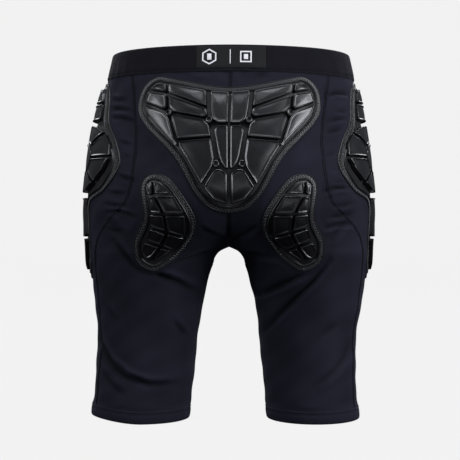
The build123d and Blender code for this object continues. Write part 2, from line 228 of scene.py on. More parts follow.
# Tailbone pad, half of it: x and height above its tip.
TAILBONE_OUTLINE = [
    (0.0, 0.0),
    (21.0, 5.0),
    (38.5, 22.0),
    (56.5, 54.0),
    (68.0, 70.0),
    (97.0, 101.0),
    (106.5, 123.0),
    (102.0, 146.0),
    (86.0, 159.0),
    (64.0, 155.5),
    (28.0, 147.5),
    (0.0, 144.5),
]
TAILBONE_BLOCKS = [
    [(1, 9), (18, 14), (30.5, 28), (14.5, 53), (1, 44)],
    [(14.5, 54), (31.5, 28.5), (48.6, 60), (56.5, 72), (58, 80), (18.5, 83)],
    [(18.5, 83), (58, 80), (68, 113), (22, 104)],
    [(58, 80), (57, 72), (76, 92), (94, 112), (98, 126), (68, 113)],
    [(22, 104), (68, 113), (70, 136), (24, 117)],
    [(24, 117), (70, 136), (72, 150), (26, 140)],
    [(68, 113), (98, 126), (93, 141), (70, 136)],
    [(70, 136), (93, 141), (85, 149), (72, 150)],
    [(0, 98), (18.8, 98), (21.8, 117), (23.8, 140), (0, 138)],
    [(0, 47), (6, 48), (11.5, 56), (18.8, 98), (0, 98)],
]

# Seat pad: x and height above its lower end.
SEAT_OUTLINE = [
    (88.0, 0.0),
    (70.0, 9.5),
    (52.0, 26.0),
    (39.5, 45.0),
    (40.0, 66.0),
    (60.0, 98.0),
    (74.0, 110.0),
    (92.0, 111.0),
    (101.0, 97.0),
    (98.5, 62.0),
    (110.5, 34.0),
    (107.0, 11.0),
]
SEAT_BLOCKS = [
    [(85.5, 106), (75, 102), (61, 88.5), (84, 88)],
    [(85.5, 106), (84, 88), (93, 86.5), (94, 100)],
    [(84, 88), (61, 88.5), (48.5, 67), (73, 67.5)],
    [(84, 88), (73, 67.5), (91, 68), (93, 86.5)],
    [(73, 67.5), (48.5, 67), (49.5, 42), (70.5, 48)],
    [(73, 67.5), (70.5, 48), (90.5, 53), (91, 68)],
    [(70.5, 48), (49.5, 42), (53, 37.5), (66, 26.5), (79, 32)],
    [(70.5, 48), (79, 32), (97, 37), (90.5, 53)],
    [(79, 32), (66, 26.5), (75, 19), (87, 12), (89, 18)],
    [(79, 32), (89, 18), (97, 14), (103, 24), (97, 37)],
]

# Hip pad: y and height above its lower end.
HIP_OUTLINE = [
    (2.0, 0.0),
    (-15.0, 12.0),
    (-24.0, 40.0),
    (-33.0, 70.0),
    (-42.0, 92.0),
    (-76.0, 106.0),
    (-91.0, 134.0),
    (-79.0, 163.0),
    (-55.0, 192.0),
    (-44.0, 215.0),
    (-31.0, 235.0),
    (-13.0, 239.0),
    (9.0, 232.0),
    (18.0, 214.0),
    (22.0, 192.0),
    (42.0, 163.0),
    (50.0, 134.0),
    (38.0, 106.0),
    (27.0, 88.0),
    (25.5, 60.0),
    (20.5, 20.0),
]
HIP_LOBE_MIDDLE = (-21.0, 145.0)
HIP_LOBE_WIDTH = 60.0
HIP_LOBE_HEIGHT = 42.0
HIP_DISC_RADIUS = 20.0
HIP_SECTORS = 8


def on_lobe(turn, reach):
    """A point of the round middle lobe: a share of a turn, and of the way out."""
    return (
        HIP_LOBE_MIDDLE[0] + reach * HIP_LOBE_WIDTH * math.cos(2 * math.pi * turn),
        HIP_LOBE_MIDDLE[1] + reach * HIP_LOBE_HEIGHT * math.sin(2 * math.pi * turn),
    )


def hip_blocks():
    """The blocks of a hip pad: tiers above and below, and sectors round a disc."""
    reach = HIP_DISC_RADIUS / HIP_LOBE_HEIGHT
    blocks = [
        [(-44, 190), (14, 190), (12, 212), (-38, 212)],
        [(-38, 212), (12, 212), (3, 229), (-14, 233), (-30, 228)],
        [(-4, 100), (-33, 100), (-26, 51), (-2, 51)],
        [(-4, 100), (-2, 51), (20, 51), (20, 100)],
        [(-2, 51), (-26, 51), (-13, 18), (1, 8)],
        [(-2, 51), (1, 8), (14, 18), (20, 51)],
        [on_lobe(i / 12, reach) for i in range(12)],
    ]
    for i in range(HIP_SECTORS):
        turns = [i / HIP_SECTORS, (i + 0.5) / HIP_SECTORS, (i + 1) / HIP_SECTORS]
        outer = [on_lobe(turn, 1.0) for turn in turns]
        blocks.append([on_lobe(turns[0], reach)] + outer + [on_lobe(turns[2], reach)])
    return blocks


def run_along(points):
    """How far along a path each of its points lies."""
    return np.concatenate([[0], np.cumsum(np.linalg.norm(np.diff(points, axis=0), axis=1))])


def smooth_loop(points, spacing):
    """A smooth closed curve through points, with even steps."""
    points = np.array(points, float)
    count = len(points)
    loop = []
    for i in range(count):
        a, b, c, d = (points[(i + k) % count] for k in (-1, 0, 1, 2))
        for t in np.linspace(0, 1, 12, endpoint=False):
            loop.append(
                0.5 * (2 * b + (c - a) * t + (2 * a - 5 * b + 4 * c - d) * t**2
                       + (3 * b - a - 3 * c + d) * t**3)
            )
    loop = np.array(loop + [loop[0]])
    run = run_along(loop)
    steps = np.arange(0, run[-1] - spacing / 2, run[-1] / round(run[-1] / spacing))
    return np.stack([np.interp(steps, run, loop[:, k]) for k in (0, 1)], axis=-1)


def lifted(points, lift):
    """Points with their heights counted from the floor."""
    return [(across, up + lift) for across, up in points]


def with_mirror(points):
    """A half outline followed by its mirror image."""
    return points + [(-x, z) for x, z in reversed(points) if x > 0]


OUTLINE_STEP = 2.2
tailbone_loop = smooth_loop(with_mirror(lifted(TAILBONE_OUTLINE, TAILBONE_LIFT)), OUTLINE_STEP)
seat_loop = smooth_loop(lifted(SEAT_OUTLINE, SEAT_LIFT), OUTLINE_STEP)
hip_loop = smooth_loop(lifted(HIP_OUTLINE, HIP_LIFT), OUTLINE_STEP)


def distance_to(points, path, closed=False):
    """Distance of 2-D points to a path, the share of the way along it, and the side."""
    path = np.asarray(path, float)
    ends = np.roll(path, -1, axis=0) if closed else path[1:]
    starts = path if closed else path[:-1]
    best = np.full(len(points), np.inf)
    share = np.zeros(len(points))
    side = np.zeros(len(points))
    for i, (a, b) in enumerate(zip(starts, ends)):
        along = b - a
        t = np.clip(((points - a) @ along) / (along @ along), 0, 1)
        off = points - (a + t[:, None] * along)
        gap = np.linalg.norm(off, axis=1)
        nearer = gap < best
        best = np.where(nearer, gap, best)
        share = np.where(nearer, (i + t) / len(starts), share)
        side = np.where(nearer, np.sign(along[0] * off[:, 1] - along[1] * off[:, 0]), side)
    return best, share, side


def inside_loop(points, loop):
    """Which 2-D points lie inside a closed loop."""
    x, y = points[:, 0], points[:, 1]
    inside = np.zeros(len(points), bool)
    for a, b in zip(loop, np.roll(loop, -1, axis=0)):
        crosses = (a[1] > y) != (b[1] > y)
        rise = b[1] - a[1] if b[1] != a[1] else 1e-9
        inside ^= crosses & (x < a[0] + (y - a[1]) / rise * (b[0] - a[0]))
    return inside


def ramp(value, low, high):
    """0 below low, 1 above high, smooth between."""
    t = np.clip((value - low) / (high - low), 0, 1)
    return t * t * (3 - 2 * t)


# ---- Folds of the fabric: path seen from behind, depth and width -----------------------

MAIN_BACK_FOLDS = [
    ([(-160, 118), (-154, 95), (-140, 74), (-118, 57), (-92, 48), (-64, 48)], 2.6, 5.0),
    ([(-136, 218), (-120, 200), (-104, 187), (-84, 180), (-60, 170), (-38, 157)], 3.2, 5.0),
    ([(-74, 190), (-50, 198), (-24, 208)], 1.6, 4.0),
    ([(-66, 124), (-57, 113), (-50, 104)], 1.2, 4.0),
    ([(-146, 140), (-134, 122)], 0.9, 5.0),
    ([(-152, 62), (-138, 46), (-122, 34)], 1.1, 6.0),
    ([(118, 196), (100, 172), (80, 152), (58, 128), (42, 108)], 2.4, 4.5),
    ([(92, 182), (70, 170), (46, 158), (32, 152)], 2.6, 4.5),
    ([(84, 190), (60, 200), (40, 201), (24, 206)], 1.8, 4.5),
    ([(150, 98), (142, 78), (128, 62), (104, 44)], 1.3, 6.0),
    ([(128, 120), (112, 104)], 0.8, 6.0),
    ([(146, 250), (128, 232), (116, 216)], 1.2, 6.0),
    ([(-146, 246), (-130, 232), (-118, 222)], 1.0, 6.0),
    ([(34, 236), (20, 228), (4, 222)], 1.4, 4.0),
    ([(-34, 236), (-20, 228), (-4, 222)], 1.2, 4.0),
    ([(112, 404), (108, 380), (112, 350)], 0.8, 6.0),
    ([(-112, 404), (-110, 380), (-112, 350)], 0.8, 6.0),
]


DRAG_COUNT = 12
DRAG_LOWEST = 236
DRAG_STEP = 14.2


def drag_lines():
    """Short level creases where the hip pads pull the fabric, on both sides of the back."""
    folds = []
    for side in (-1, 1):
        for i in range(DRAG_COUNT):
            sway = math.sin(2.3 * i + side)
            low = DRAG_LOWEST + DRAG_STEP * i + 2.5 * sway
            outer, reach = 148 - 0.035 * abs(low - 330), 30 + 9 * sway
            path = [
                (outer, low),
                (outer - reach / 2, low - 2 + 2 * sway),
                (outer - reach, low - 5 - 2 * sway),
            ]
            folds.append(([(side * x, z) for x, z in path], 1.3 + 0.4 * sway, 3.2))
    return folds


BACK_FOLDS = MAIN_BACK_FOLDS + drag_lines()
FRONT_FOLDS = [
    ([(6, 226), (34, 238), (70, 262), (104, 290)], 2.0, 6.0),
    ([(-6, 226), (-30, 242), (-62, 268), (-96, 300)], 2.2, 6.0),
    ([(20, 214), (50, 218), (90, 214)], 1.8, 6.0),
    ([(-18, 212), (-54, 212), (-94, 204)], 1.6, 6.0),
    ([(60, 150), (96, 132), (132, 128)], 1.2, 7.0),
    ([(-140, 90), (-104, 66), (-66, 60)], 1.8, 6.0),
    ([(142, 80), (110, 58), (74, 50)], 1.5, 6.0),
]


FOLD_SHARPNESS = 0.72                           # less makes every fold narrower


def fold_relief(points, folds):
    """How far each point of a view from the back or the front moves in or out."""
    relief = np.zeros(len(points))
    for path, depth, width in folds:
        gap, share, side = distance_to(points, path)
        taper = np.sin(math.pi * np.clip(share, 0.02, 0.98)) ** 0.6
        width = FOLD_SHARPNESS * width
        signed = gap * np.where(side == 0, 1, side)
        valley = np.exp(-((np.abs(signed) / width) ** 1.3))
        ridge = np.exp(-(((signed - 1.9 * width) / (1.4 * width)) ** 2))
        reach = np.exp(-((gap / (3 * width)) ** 4))
        relief += depth * taper * reach * (0.55 * ridge - valley)
    return relief


PADS_BEHIND = 20                                # the back pads are farther back than this
PADS_BESIDE = 100                               # and the hip pads farther out than this


def held_by_pads(points):
    """0 where a pad holds the fabric flat, 1 well away from every pad."""
    back = points[:, [0, 2]]
    behind = points[:, 1] < FORWARD - PADS_BEHIND
    beside = np.abs(points[:, 0]) > PADS_BESIDE
    holds = [(back, loop, behind) for loop in (tailbone_loop, seat_loop, seat_loop * [-1, 1])]
    holds.append((points[:, [1, 2]] - [FORWARD, 0], hip_loop, beside))
    mask = np.ones(len(points))
    for view, loop, near in holds:
        gap = distance_to(view, loop[::3], closed=True)[0]
        gap = np.where(inside_loop(view, loop), 0, gap)
        mask = np.where(near, mask * ramp(gap, 1.0, 9.0), mask)
    return mask


def fabric_relief(points, normals):
    """Folds, soft undulation and seam pucker of the knit, along the normals."""
    back = points[:, [0, 2]]
    rear = ramp(-normals[:, 1], 0.0, 0.35)
    front = ramp(normals[:, 1], 0.0, 0.35)
    relief = rear * fold_relief(back, BACK_FOLDS) + front * fold_relief(back, FRONT_FOLDS)
    x, y, z = points.T
    relief += 0.45 * np.sin(x / 17 + z / 29 + 1.3) * np.sin(z / 23 - y / 31)
    relief += 0.25 * np.sin(x / 7.5 - z / 11) * np.sin(z / 9 + y / 12 + 0.7)
    relief += 0.35 * np.sin(x / 3.4 + np.sin(x / 13)) * np.exp(-(BAND_BOTTOM - z) / 11)
    relief *= held_by_pads(points)
    relief *= ramp(BAND_BOTTOM - z, 0.0, 7.0) * ramp(z - HEM_TOP, 0.0, 8.0)
    return relief * np.where(z > FORK - 4, ramp(np.abs(x), 0.0, 9.0), 1.0)


# ---- Making meshes ---------------------------------------------------------------------


def worn(points):
    """Points moved as the shorts hang: both legs swing to one side, one hem rides up."""
    points = np.array(points, float)
    x, z = points[:, 0].copy(), points[:, 2].copy()
    low = 1 - ramp(z, 25.0, 190.0)
    outer = ramp(np.abs(x), 45.0, 165.0)
    swing = np.where(x < 0, 1.5 + 3.5 * outer, 0.8 + 3.0 * outer)
    points[:, 0] += 2.5 * ramp(z, 340.0, 440.0) - low * swing
    points[:, 2] += 5.0 * ramp(-x, 100.0, 166.0) * (1 - ramp(z, 0.0, 60.0))
    return points


def add_object(name, data):
    """A new object in the scene."""
    thing = bpy.data.objects.new(name, data)
    bpy.context.scene.collection.objects.link(thing)
    return thing


def new_piece(name, vertices, faces, uvs=None):
    """A mesh object from millimetre vertices, with an optional UV for each vertex."""
    mesh = bpy.data.meshes.new(name)
    mesh.from_pydata((np.asarray(vertices) * MM).tolist(), [], [list(map(int, f)) for f in faces])
    if uvs is not None:
        layer = mesh.uv_layers.new(name="cloth")
        index = np.empty(len(mesh.loops), dtype=np.int32)
        mesh.loops.foreach_get("vertex_index", index)
        layer.data.foreach_set("uv", (np.asarray(uvs) * MM)[index].ravel())
    mesh.validate()
    return add_object(name, mesh)


def grid_faces(rows, columns, start=0, flip=False):
    """Quads of a grid of vertices."""
    faces = []
    for i in range(rows - 1):
        for j in range(columns - 1):
            a = start + i * columns + j
            quad = (a, a + 1, a + columns + 1, a + columns)
            faces.append((quad[0],) + quad[:0:-1] if flip else quad)
    return faces


def outward_flip(grid, normals):
    """Whether a grid's quads need turning to face outwards."""
    i, j = grid.shape[0] // 2, grid.shape[1] // 2
    across = grid[i, j + 1] - grid[i, j]
    upwards = grid[i + 1, j] - grid[i, j]
    return float(np.dot(np.cross(across, upwards), normals[i, j])) < 0


def cloth_piece(name, grid, normals, thickness, crease=None):
    """A sheet of cloth with its inner face and its rims, from a grid of outer points.

    The last argument holds how far each point stands out of the smooth body; from it the knit finish paints
    shade into the valleys of the folds and a highlight onto their ridges."""
    rows, columns = grid.shape[:2]
    outer = grid.reshape(-1, 3)
    inner = (grid - normals * thickness).reshape(-1, 3)
    flip = outward_flip(grid, normals)
    count = rows * columns
    faces = grid_faces(rows, columns, 0, flip)
    faces += grid_faces(rows, columns, count, not flip)
    rims = (
        (range(columns), True),
        (range(count - columns, count), False),
        (range(0, count, columns), False),
        (range(columns - 1, count, columns), True),
    )
    for rim, turn in rims:
        for a, b in zip(rim[:-1], rim[1:]):
            quad = (a, a + count, b + count, b)
            faces.append(quad if turn != flip else quad[::-1])
    across = np.linalg.norm(np.diff(grid, axis=1), axis=2).mean(axis=0)
    run = np.concatenate([[0], np.cumsum(across)])
    uv = np.stack([np.broadcast_to(run, (rows, columns)), grid[..., 2]], axis=-1).reshape(-1, 2)
    piece = new_piece(name, np.vstack([outer, inner]), faces, np.vstack([uv, uv]))
    if crease is not None:
        layer = piece.data.attributes.new("crease", "FLOAT", "POINT")
        layer.data.foreach_set("value", np.tile(crease.ravel(), 2))
    return piece


def mirrored_piece(piece, name):
    """A mirror image of a piece across x = 0, with its faces turned outwards again."""
    mesh = piece.data.copy()
    mesh.name = name
    shape = bmesh.new()
    shape.from_mesh(mesh)
    bmesh.ops.scale(shape, vec=(-1, 1, 1), verts=shape.verts)
    bmesh.ops.reverse_faces(shape, faces=shape.faces)
    shape.to_mesh(mesh)
    shape.free()
    return add_object(name, mesh)


def pick(*pieces):
    """Select only these pieces, the first of them active."""
    bpy.ops.object.select_all(action="DESELECT")
    for piece in pieces:
        piece.select_set(True)
    bpy.context.view_layer.objects.active = pieces[0]


def turned_out(piece):
    """Turn the faces of every shell of a piece outwards."""
    shape = bmesh.new()
    shape.from_mesh(piece.data)
    bmesh.ops.recalc_face_normals(shape, faces=shape.faces)
    shape.to_mesh(piece.data)
    shape.free()


def shade(piece, degrees=None):
    """Smooth shading, kept sharp over an angle if one is given."""
    pick(piece)
    if degrees is None:
        bpy.ops.object.shade_smooth()
    else:
        bpy.ops.object.shade_smooth_by_angle(angle=math.radians(degrees))


def move_points(piece, change):
    """Pass a piece's points, in millimetres, through a function."""
    points = np.empty(3 * len(piece.data.vertices))
    piece.data.vertices.foreach_get("co", points)
    piece.data.vertices.foreach_set("co", (change(points.reshape(-1, 3) / MM) * MM).ravel())
    piece.data.update()


def settle(piece, material, slot, *nodes):
    """The hang, material and body of a piece, and the CAD nodes that it stands for; the slot argument is
    not used.
    """
    move_points(piece, worn)
    piece.data.materials.clear()
    piece.data.materials.append(material)
    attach(piece, BODY)
    if nodes:
        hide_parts(*nodes)


def thread_piece(name, paths, radius):
    """Stitches as a fine tube along each path of millimetre points."""
    curve = bpy.data.curves.new(name, "CURVE")
    curve.dimensions = "3D"
    curve.bevel_depth = radius * MM
    curve.bevel_resolution = 0
    curve.use_fill_caps = True
    for path in paths:
        spline = curve.splines.new("POLY")
        spline.points.add(len(path) - 1)
        flat = np.hstack([np.asarray(path) * MM, np.ones((len(path), 1))])
        spline.points.foreach_set("co", flat.ravel())
    piece = add_object(name, curve)
    pick(piece)
    bpy.ops.object.convert(target="MESH")
    piece = bpy.context.view_layer.objects.active
    piece.name = name
    return piece


def zigzag(count, half_width):
    """Offsets across a seam for a run of zigzag stitches."""
    return np.where(np.arange(count) % 2, half_width, -half_width)


# ---- Materials -------------------------------------------------------------------------


def add_node(tree, kind, **values):
    """A node with some of its properties and inputs set, or fed by other nodes' outputs."""
    node = tree.nodes.new(kind)
    for key, value in values.items():
        if hasattr(node, key):
            setattr(node, key, value)
        else:
            feed(tree, node.inputs[key.replace("_", " ")], value)
    return node


def feed(tree, socket, value):
    """Link an output to a socket, or set the socket to a value."""
    if isinstance(value, bpy.types.NodeSocket):
        tree.links.new(value, socket)
    else:
        socket.default_value = value


def maths(tree, operation, *values):
    """The output of a Math node."""
    node = add_node(tree, "ShaderNodeMath", operation=operation)
    for socket, value in zip(node.inputs, values):
        feed(tree, socket, value)
    return node.outputs[0]


def noise(tree, vector, scale, detail, roughness):
    """The output of a noise texture."""
    node = add_node(
        tree, "ShaderNodeTexNoise", Vector=vector, Scale=scale, Detail=detail, Roughness=roughness
    )
    return node.outputs["Fac"]


def blend_of(tree, share, dark, light):
    """A colour between two colours."""
    node = add_node(tree, "ShaderNodeMix", data_type="RGBA")
    for key, value in (("Factor", share), (6, dark), (7, light)):
        feed(tree, node.inputs[key], value)
    return node.outputs[2]


def group_tree(name, amounts):
    """A shader node group: two colours and some amounts in, colour, height and roughness out."""
    tree = bpy.data.node_groups.new(name, "ShaderNodeTree")
    for label in ("Dark", "Light"):
        tree.interface.new_socket(name=label, in_out="INPUT", socket_type="NodeSocketColor")
    for label in amounts:
        tree.interface.new_socket(name=label, in_out="INPUT", socket_type="NodeSocketFloat")
    for label, kind in (("Color", "Color"), ("Height", "Float"), ("Roughness", "Float")):
        tree.interface.new_socket(name=label, in_out="OUTPUT", socket_type=f"NodeSocket{kind}")
    given, result = tree.nodes.new("NodeGroupInput"), tree.nodes.new("NodeGroupOutput")
    return tree, given.outputs, result.inputs


def knit_group():
    """Colour variation and stitch height of a knitted cloth, from its UV map, with painted shade in the
    valleys of the folds and a painted highlight on their ridges.
    """
    tree, given, result = group_tree("knit", ("Wale Scale", "Wale Amount"))
    place = tree.nodes.new("ShaderNodeTexCoord").outputs["Object"]
    flat = add_node(tree, "ShaderNodeUVMap", uv_map="cloth").outputs["UV"]
    split = add_node(tree, "ShaderNodeSeparateXYZ", Vector=flat).outputs
    waves = []
    for axis, factor in (("X", 1.0), ("Y", 0.7)):
        scaled = maths(tree, "MULTIPLY", split[axis], given["Wale Scale"])
        turn = maths(tree, "MULTIPLY", scaled, factor * math.tau)
        waves.append(maths(tree, "SINE", turn))
    stitches = maths(tree, "MULTIPLY", *waves)
    fuzz = noise(tree, place, 2600.0, 3.0, 0.6)
    cloud = noise(tree, place, 22.0, 4.0, 0.55)
    feed(tree, result["Height"], maths(tree, "MULTIPLY_ADD", stitches, given["Wale Amount"], fuzz))
    tone = maths(tree, "MULTIPLY_ADD", fuzz, 0.5, maths(tree, "MULTIPLY", cloud, 0.5))
    dyed = blend_of(tree, tone, given["Dark"], given["Light"])
    # Painted shade in the folds' valleys and a painted highlight on their ridges, from the relief stored on
    # the panels.
    crease = add_node(tree, "ShaderNodeAttribute", attribute_name="crease").outputs["Fac"]
    crease_shade_share = add_node(tree, "ShaderNodeMapRange", Value=crease, **PAINTED_CREASE_SHADE_RANGE)
    dye_with_crease_shade = add_node(tree, "ShaderNodeVectorMath", operation="SCALE", Scale=crease_shade_share.outputs[0])
    feed(tree, dye_with_crease_shade.inputs[0], dyed)
    feed(tree, result["Color"], dye_with_crease_shade.outputs[0])
    rough = add_node(tree, "ShaderNodeMapRange", Value=cloud, To_Min=0.72, To_Max=0.92)
    feed(tree, result["Roughness"], rough.outputs[0])
    return tree


def moulded_group():
    """Tone, gloss and fine grain of a moulded rubbery plastic."""
    tree, given, result = group_tree("moulded", ("Gloss", "Spread"))
    place = tree.nodes.new("ShaderNodeTexCoord").outputs["Object"]
    smear = noise(tree, place, 60.0, 4.0, 0.6)
    feed(tree, result["Height"], noise(tree, place, 1900.0, 2.0, 0.5))
    feed(tree, result["Color"], blend_of(tree, smear, given["Dark"], given["Light"]))
    rough = maths(tree, "MULTIPLY_ADD", smear, given["Spread"], given["Gloss"])
    feed(tree, result["Roughness"], rough)
    return tree


def finish_material(name, group, values, bump_distance, bump_strength, **shader_values):
    """A Principled material fed by one of the shared groups."""
    material = bpy.data.materials.new(name)
    material.use_nodes = True
    tree = material.node_tree
    shader = tree.nodes["Principled BSDF"]
    effect = tree.nodes.new("ShaderNodeGroup")
    effect.node_tree = group
    for label, value in values.items():
        effect.inputs[label].default_value = value
    bump = add_node(
        tree, "ShaderNodeBump",
        Distance=bump_distance, Strength=bump_strength, Height=effect.outputs["Height"],
    )
    feed(tree, shader.inputs["Base Color"], effect.outputs["Color"])
    feed(tree, shader.inputs["Roughness"], effect.outputs["Roughness"])
    feed(tree, shader.inputs["Normal"], bump.outputs["Normal"])
    for label, value in shader_values.items():
        shader.inputs[label.replace("_", " ")].default_value = value
    return material


def shade_pair(colour, spread):
    """A darker and a lighter tone either side of a colour."""
    dark, light = ([c * (1 + way * spread) for c in colour] + [1.0] for way in (-1, 1))
    return {"Dark": dark, "Light": light}


# Painted shade and highlight: the valleys of the folds are darkened and their ridges lightened, from
# millimetres of relief to a share of the colour.
PAINTED_CREASE_SHADE_RANGE = {"From_Min": -3.5, "From_Max": 2.0, "To_Min": 0.4, "To_Max": 1.35}
SHEEN = {"Sheen_Weight": 0.05, "Sheen_Roughness": 0.4, "Specular_IOR_Level": 0.1}
COOL_SHEEN = {**SHEEN, "Sheen_Tint": (0.6, 0.65, 0.9, 1)}
WARM_SHEEN = {**SHEEN, "Sheen_Tint": (0.8, 0.75, 0.9, 1)}

# Colour, its spread, wales per metre, their depth, bump distance and strength, shader values.
KNITS = {
    "stretch_knit": ("knit_colour", 0.22, 900.0, 0.35, 0.00025, 0.35, COOL_SHEEN),
    "hem_knit": ("knit_colour", 0.2, 900.0, 0.35, 0.00025, 0.35, COOL_SHEEN),
    "waistband_knit": ("band_colour", 0.2, 520.0, 0.8, 0.0004, 0.5, WARM_SHEEN),
    "elastic": ("band_colour", 0.3, 400.0, 1.0, 0.0005, 0.6, SHEEN),
    "patch_fabric": ((0.004, 0.004, 0.005), 0.25, 1200.0, 0.6, 0.0002, 0.3, {"Specular_IOR_Level": 0.3}),
}
# Colour, its spread, lowest roughness, its spread, bump distance and strength, shader values.
MOULDINGS = {
    "mark_print": ((0.72, 0.72, 0.74), 0.06, 0.5, 0.1, 0.0001, 0.15, {}),
    "thread": ("thread_colour", 0.25, 0.75, 0.15, 0.0002, 0.4, {"Specular_IOR_Level": 0.15}),
    "pad_thread": ("pad_thread_colour", 0.2, 0.45, 0.15, 0.0002, 0.4, {"Sheen_Weight": 0.2}),
    "pad_skin": ("skin_colour", 0.15, 0.4, 0.14, 0.0001, 0.2, {"Specular_IOR_Level": 0.5}),
    "pad_blocks": ("block_colour", 0.15, "gloss", 0.12, 0.00008, 0.16, {"Specular_IOR_Level": 0.55}),
}
MATERIALS = {}


def setting(value):
    """A plain value as it is, or the setting of the cloth or the pads that a name stands for."""
    if not isinstance(value, str):
        return value
    cloth, pads = bpy.context.scene.shorts_cloth, bpy.context.scene.shorts_pads
    return getattr(cloth if hasattr(cloth, value) else pads, value)


def material_for(name):
    """The named finish, made once from the settings."""
    if name not in MATERIALS:
        kind, make, labels = (
            ("knit", knit_group, ("Wale Scale", "Wale Amount")) if name in KNITS
            else ("moulded", moulded_group, ("Gloss", "Spread"))
        )
        colour, spread, first, second, distance, strength, shader = {**KNITS, **MOULDINGS}[name]
        values = {**shade_pair(setting(colour), spread), **dict(zip(labels, (setting(first), second)))}
        group = bpy.data.node_groups.get(kind) or make()
        MATERIALS[name] = finish_material(name, group, values, distance, strength, **shader)
    return MATERIALS[name]


# Radii of the threads.
SEAM_THREAD = 0.24
HEM_THREAD = 0.22
PATCH_THREAD = 0.2


def sew(name, paths, radius, *nodes):
    """Stitches in the seam thread."""
    piece = thread_piece(name, paths, radius)
    settle(piece, material_for("thread"), "thread", *nodes)
    shade(piece)


# ---- Settings --------------------------------------------------------------------------


class ShortsCloth(bpy.types.PropertyGroup):
    """Sizes and colours of the fabric."""

    thickness: bpy.props.FloatProperty(
        name="Cloth Thickness", description="Thickness of the knit", default=0.0011, unit="LENGTH"
    )
    fold_strength: bpy.props.FloatProperty(
        name="Fold Strength", description="Scales every fold of the fabric", default=2.2, min=0.0
    )
    stitch_pitch: bpy.props.FloatProperty(
        name="Stitch Pitch", description="Length of one stitch", default=0.0019, unit="LENGTH"
    )
    knit_colour: bpy.props.FloatVectorProperty(
        name="Knit Colour", description="Colour of the panels", subtype="COLOR",
        default=(0.0095, 0.0097, 0.0166),
    )
    band_colour: bpy.props.FloatVectorProperty(
        name="Band Colour", description="Colour of the waistband", subtype="COLOR",
        default=(0.0046, 0.0045, 0.0070),
    )
    thread_colour: bpy.props.FloatVectorProperty(
        name="Thread Colour", description="Colour of the seam thread", subtype="COLOR",
        default=(0.0030, 0.0030, 0.0045),
    )


class ShortsPads(bpy.types.PropertyGroup):
    """Sizes and colours of the impact pads."""

    skin_height: bpy.props.FloatProperty(
        name="Skin Height", description="Height of the sewn flange", default=0.0015, unit="LENGTH"
    )
    block_height: bpy.props.FloatProperty(
        name="Block Height", description="Height of the big pads' blocks", default=0.0075, unit="LENGTH"
    )
    seat_block_height: bpy.props.FloatProperty(
        name="Seat Block Height", description="Height of the seat pads' blocks", default=0.0062,
        unit="LENGTH",
    )
    gloss: bpy.props.FloatProperty(
        name="Block Roughness", description="Lowest roughness of the blocks", default=0.25, min=0.0, max=1.0
    )
    skin_colour: bpy.props.FloatVectorProperty(
        name="Skin Colour", description="Colour of the flange", subtype="COLOR",
        default=(0.0065, 0.0065, 0.0078),
    )
    block_colour: bpy.props.FloatVectorProperty(
        name="Block Colour", description="Colour of the blocks", subtype="COLOR",
        default=(0.0055, 0.0055, 0.0068),
    )
    pad_thread_colour: bpy.props.FloatVectorProperty(
        name="Pad Thread Colour", description="Colour of the zigzag stitching", subtype="COLOR",
        default=(0.085, 0.085, 0.092),
    )


class ShortsStage(bpy.types.PropertyGroup):
    """Camera distance and lights."""

    distance: bpy.props.FloatProperty(
        name="Camera Distance", description="From the camera to the middle of the shorts",
        default=1.5, unit="LENGTH",
    )
    key_power: bpy.props.FloatProperty(
        name="Key Power", description="Watts that each light has a share of", default=44.0, min=0.0
    )
    floor_tone: bpy.props.FloatProperty(
        name="Floor Tone", description="Brightness of the floor and backdrop", default=0.885, min=0.0
    )


# ---- Fabric panels ---------------------------------------------------------------------

GRID_STEP = 2.0
FORK_STEP = 1.5


def panel_heights():
    """Heights of the rows of a panel, closer together round the fork."""
    below, above = FORK - 30, FORK + 16
    rows = [np.arange(HEM_TOP, below, GRID_STEP), np.arange(below, above, FORK_STEP)]
    rows.append(np.linspace(above, BAND_BOTTOM, 96))
    return np.unique(np.concatenate(rows).round(3))


def panel_grid(start, end, columns):
    """Outer points and normals of a panel between two seams."""
    heights = panel_heights()
    first, last = start(heights), end(heights)
    share = np.linspace(0, 1, columns)
    angles = first[:, None] + (last - first)[:, None] * share[None, :]
    levels = np.broadcast_to(heights[:, None], angles.shape)
    return on_body(levels, angles), body_normal(levels, angles)


def relieved(grid, normals):
    """A grid with the fabric's folds added, and how far they stand out or in."""
    shape = grid.shape[:2]
    strength = bpy.context.scene.shorts_cloth.fold_strength
    amount = strength * fabric_relief(grid.reshape(-1, 3), normals.reshape(-1, 3)).reshape(shape)
    return grid + normals * amount[..., None], amount


PANELS = {
    "back_panel": (seam_edge(BACK_PRINCESS, -1), gusset_edge(-1), 98),
    "front_panel": (seam_edge(FRONT_PRINCESS, 1), gusset_edge(1), 72),
    "side_panel": (seam_edge(BACK_PRINCESS, -1), seam_edge(FRONT_PRINCESS, 1), 66),
}


class SHORTS_OT_panels(bpy.types.Operator):
    """Cut and fold the six panels of stretch knit"""

    bl_idname = "shorts.panels"
    bl_label = "Fabric Panels"

    def execute(self, context):
        thickness = context.scene.shorts_cloth.thickness / MM
        for name, (start, end, columns) in PANELS.items():
            for side in ("right", "left"):
                grid, normals = panel_grid(start, end, columns)
                if side == "left":
                    grid, normals = grid * MIRROR, normals * MIRROR
                # The relief moves the cloth and also drives the painted shade and highlight of its folds.
                grid, crease = relieved(grid, normals)
                piece = cloth_piece(f"{name}_{side}_knit", grid, normals, thickness, crease=crease)
                settle(piece, material_for("stretch_knit"), "stretch_knit", f"{name}_{side}")
                shade(piece, 60)
        return {"FINISHED"}


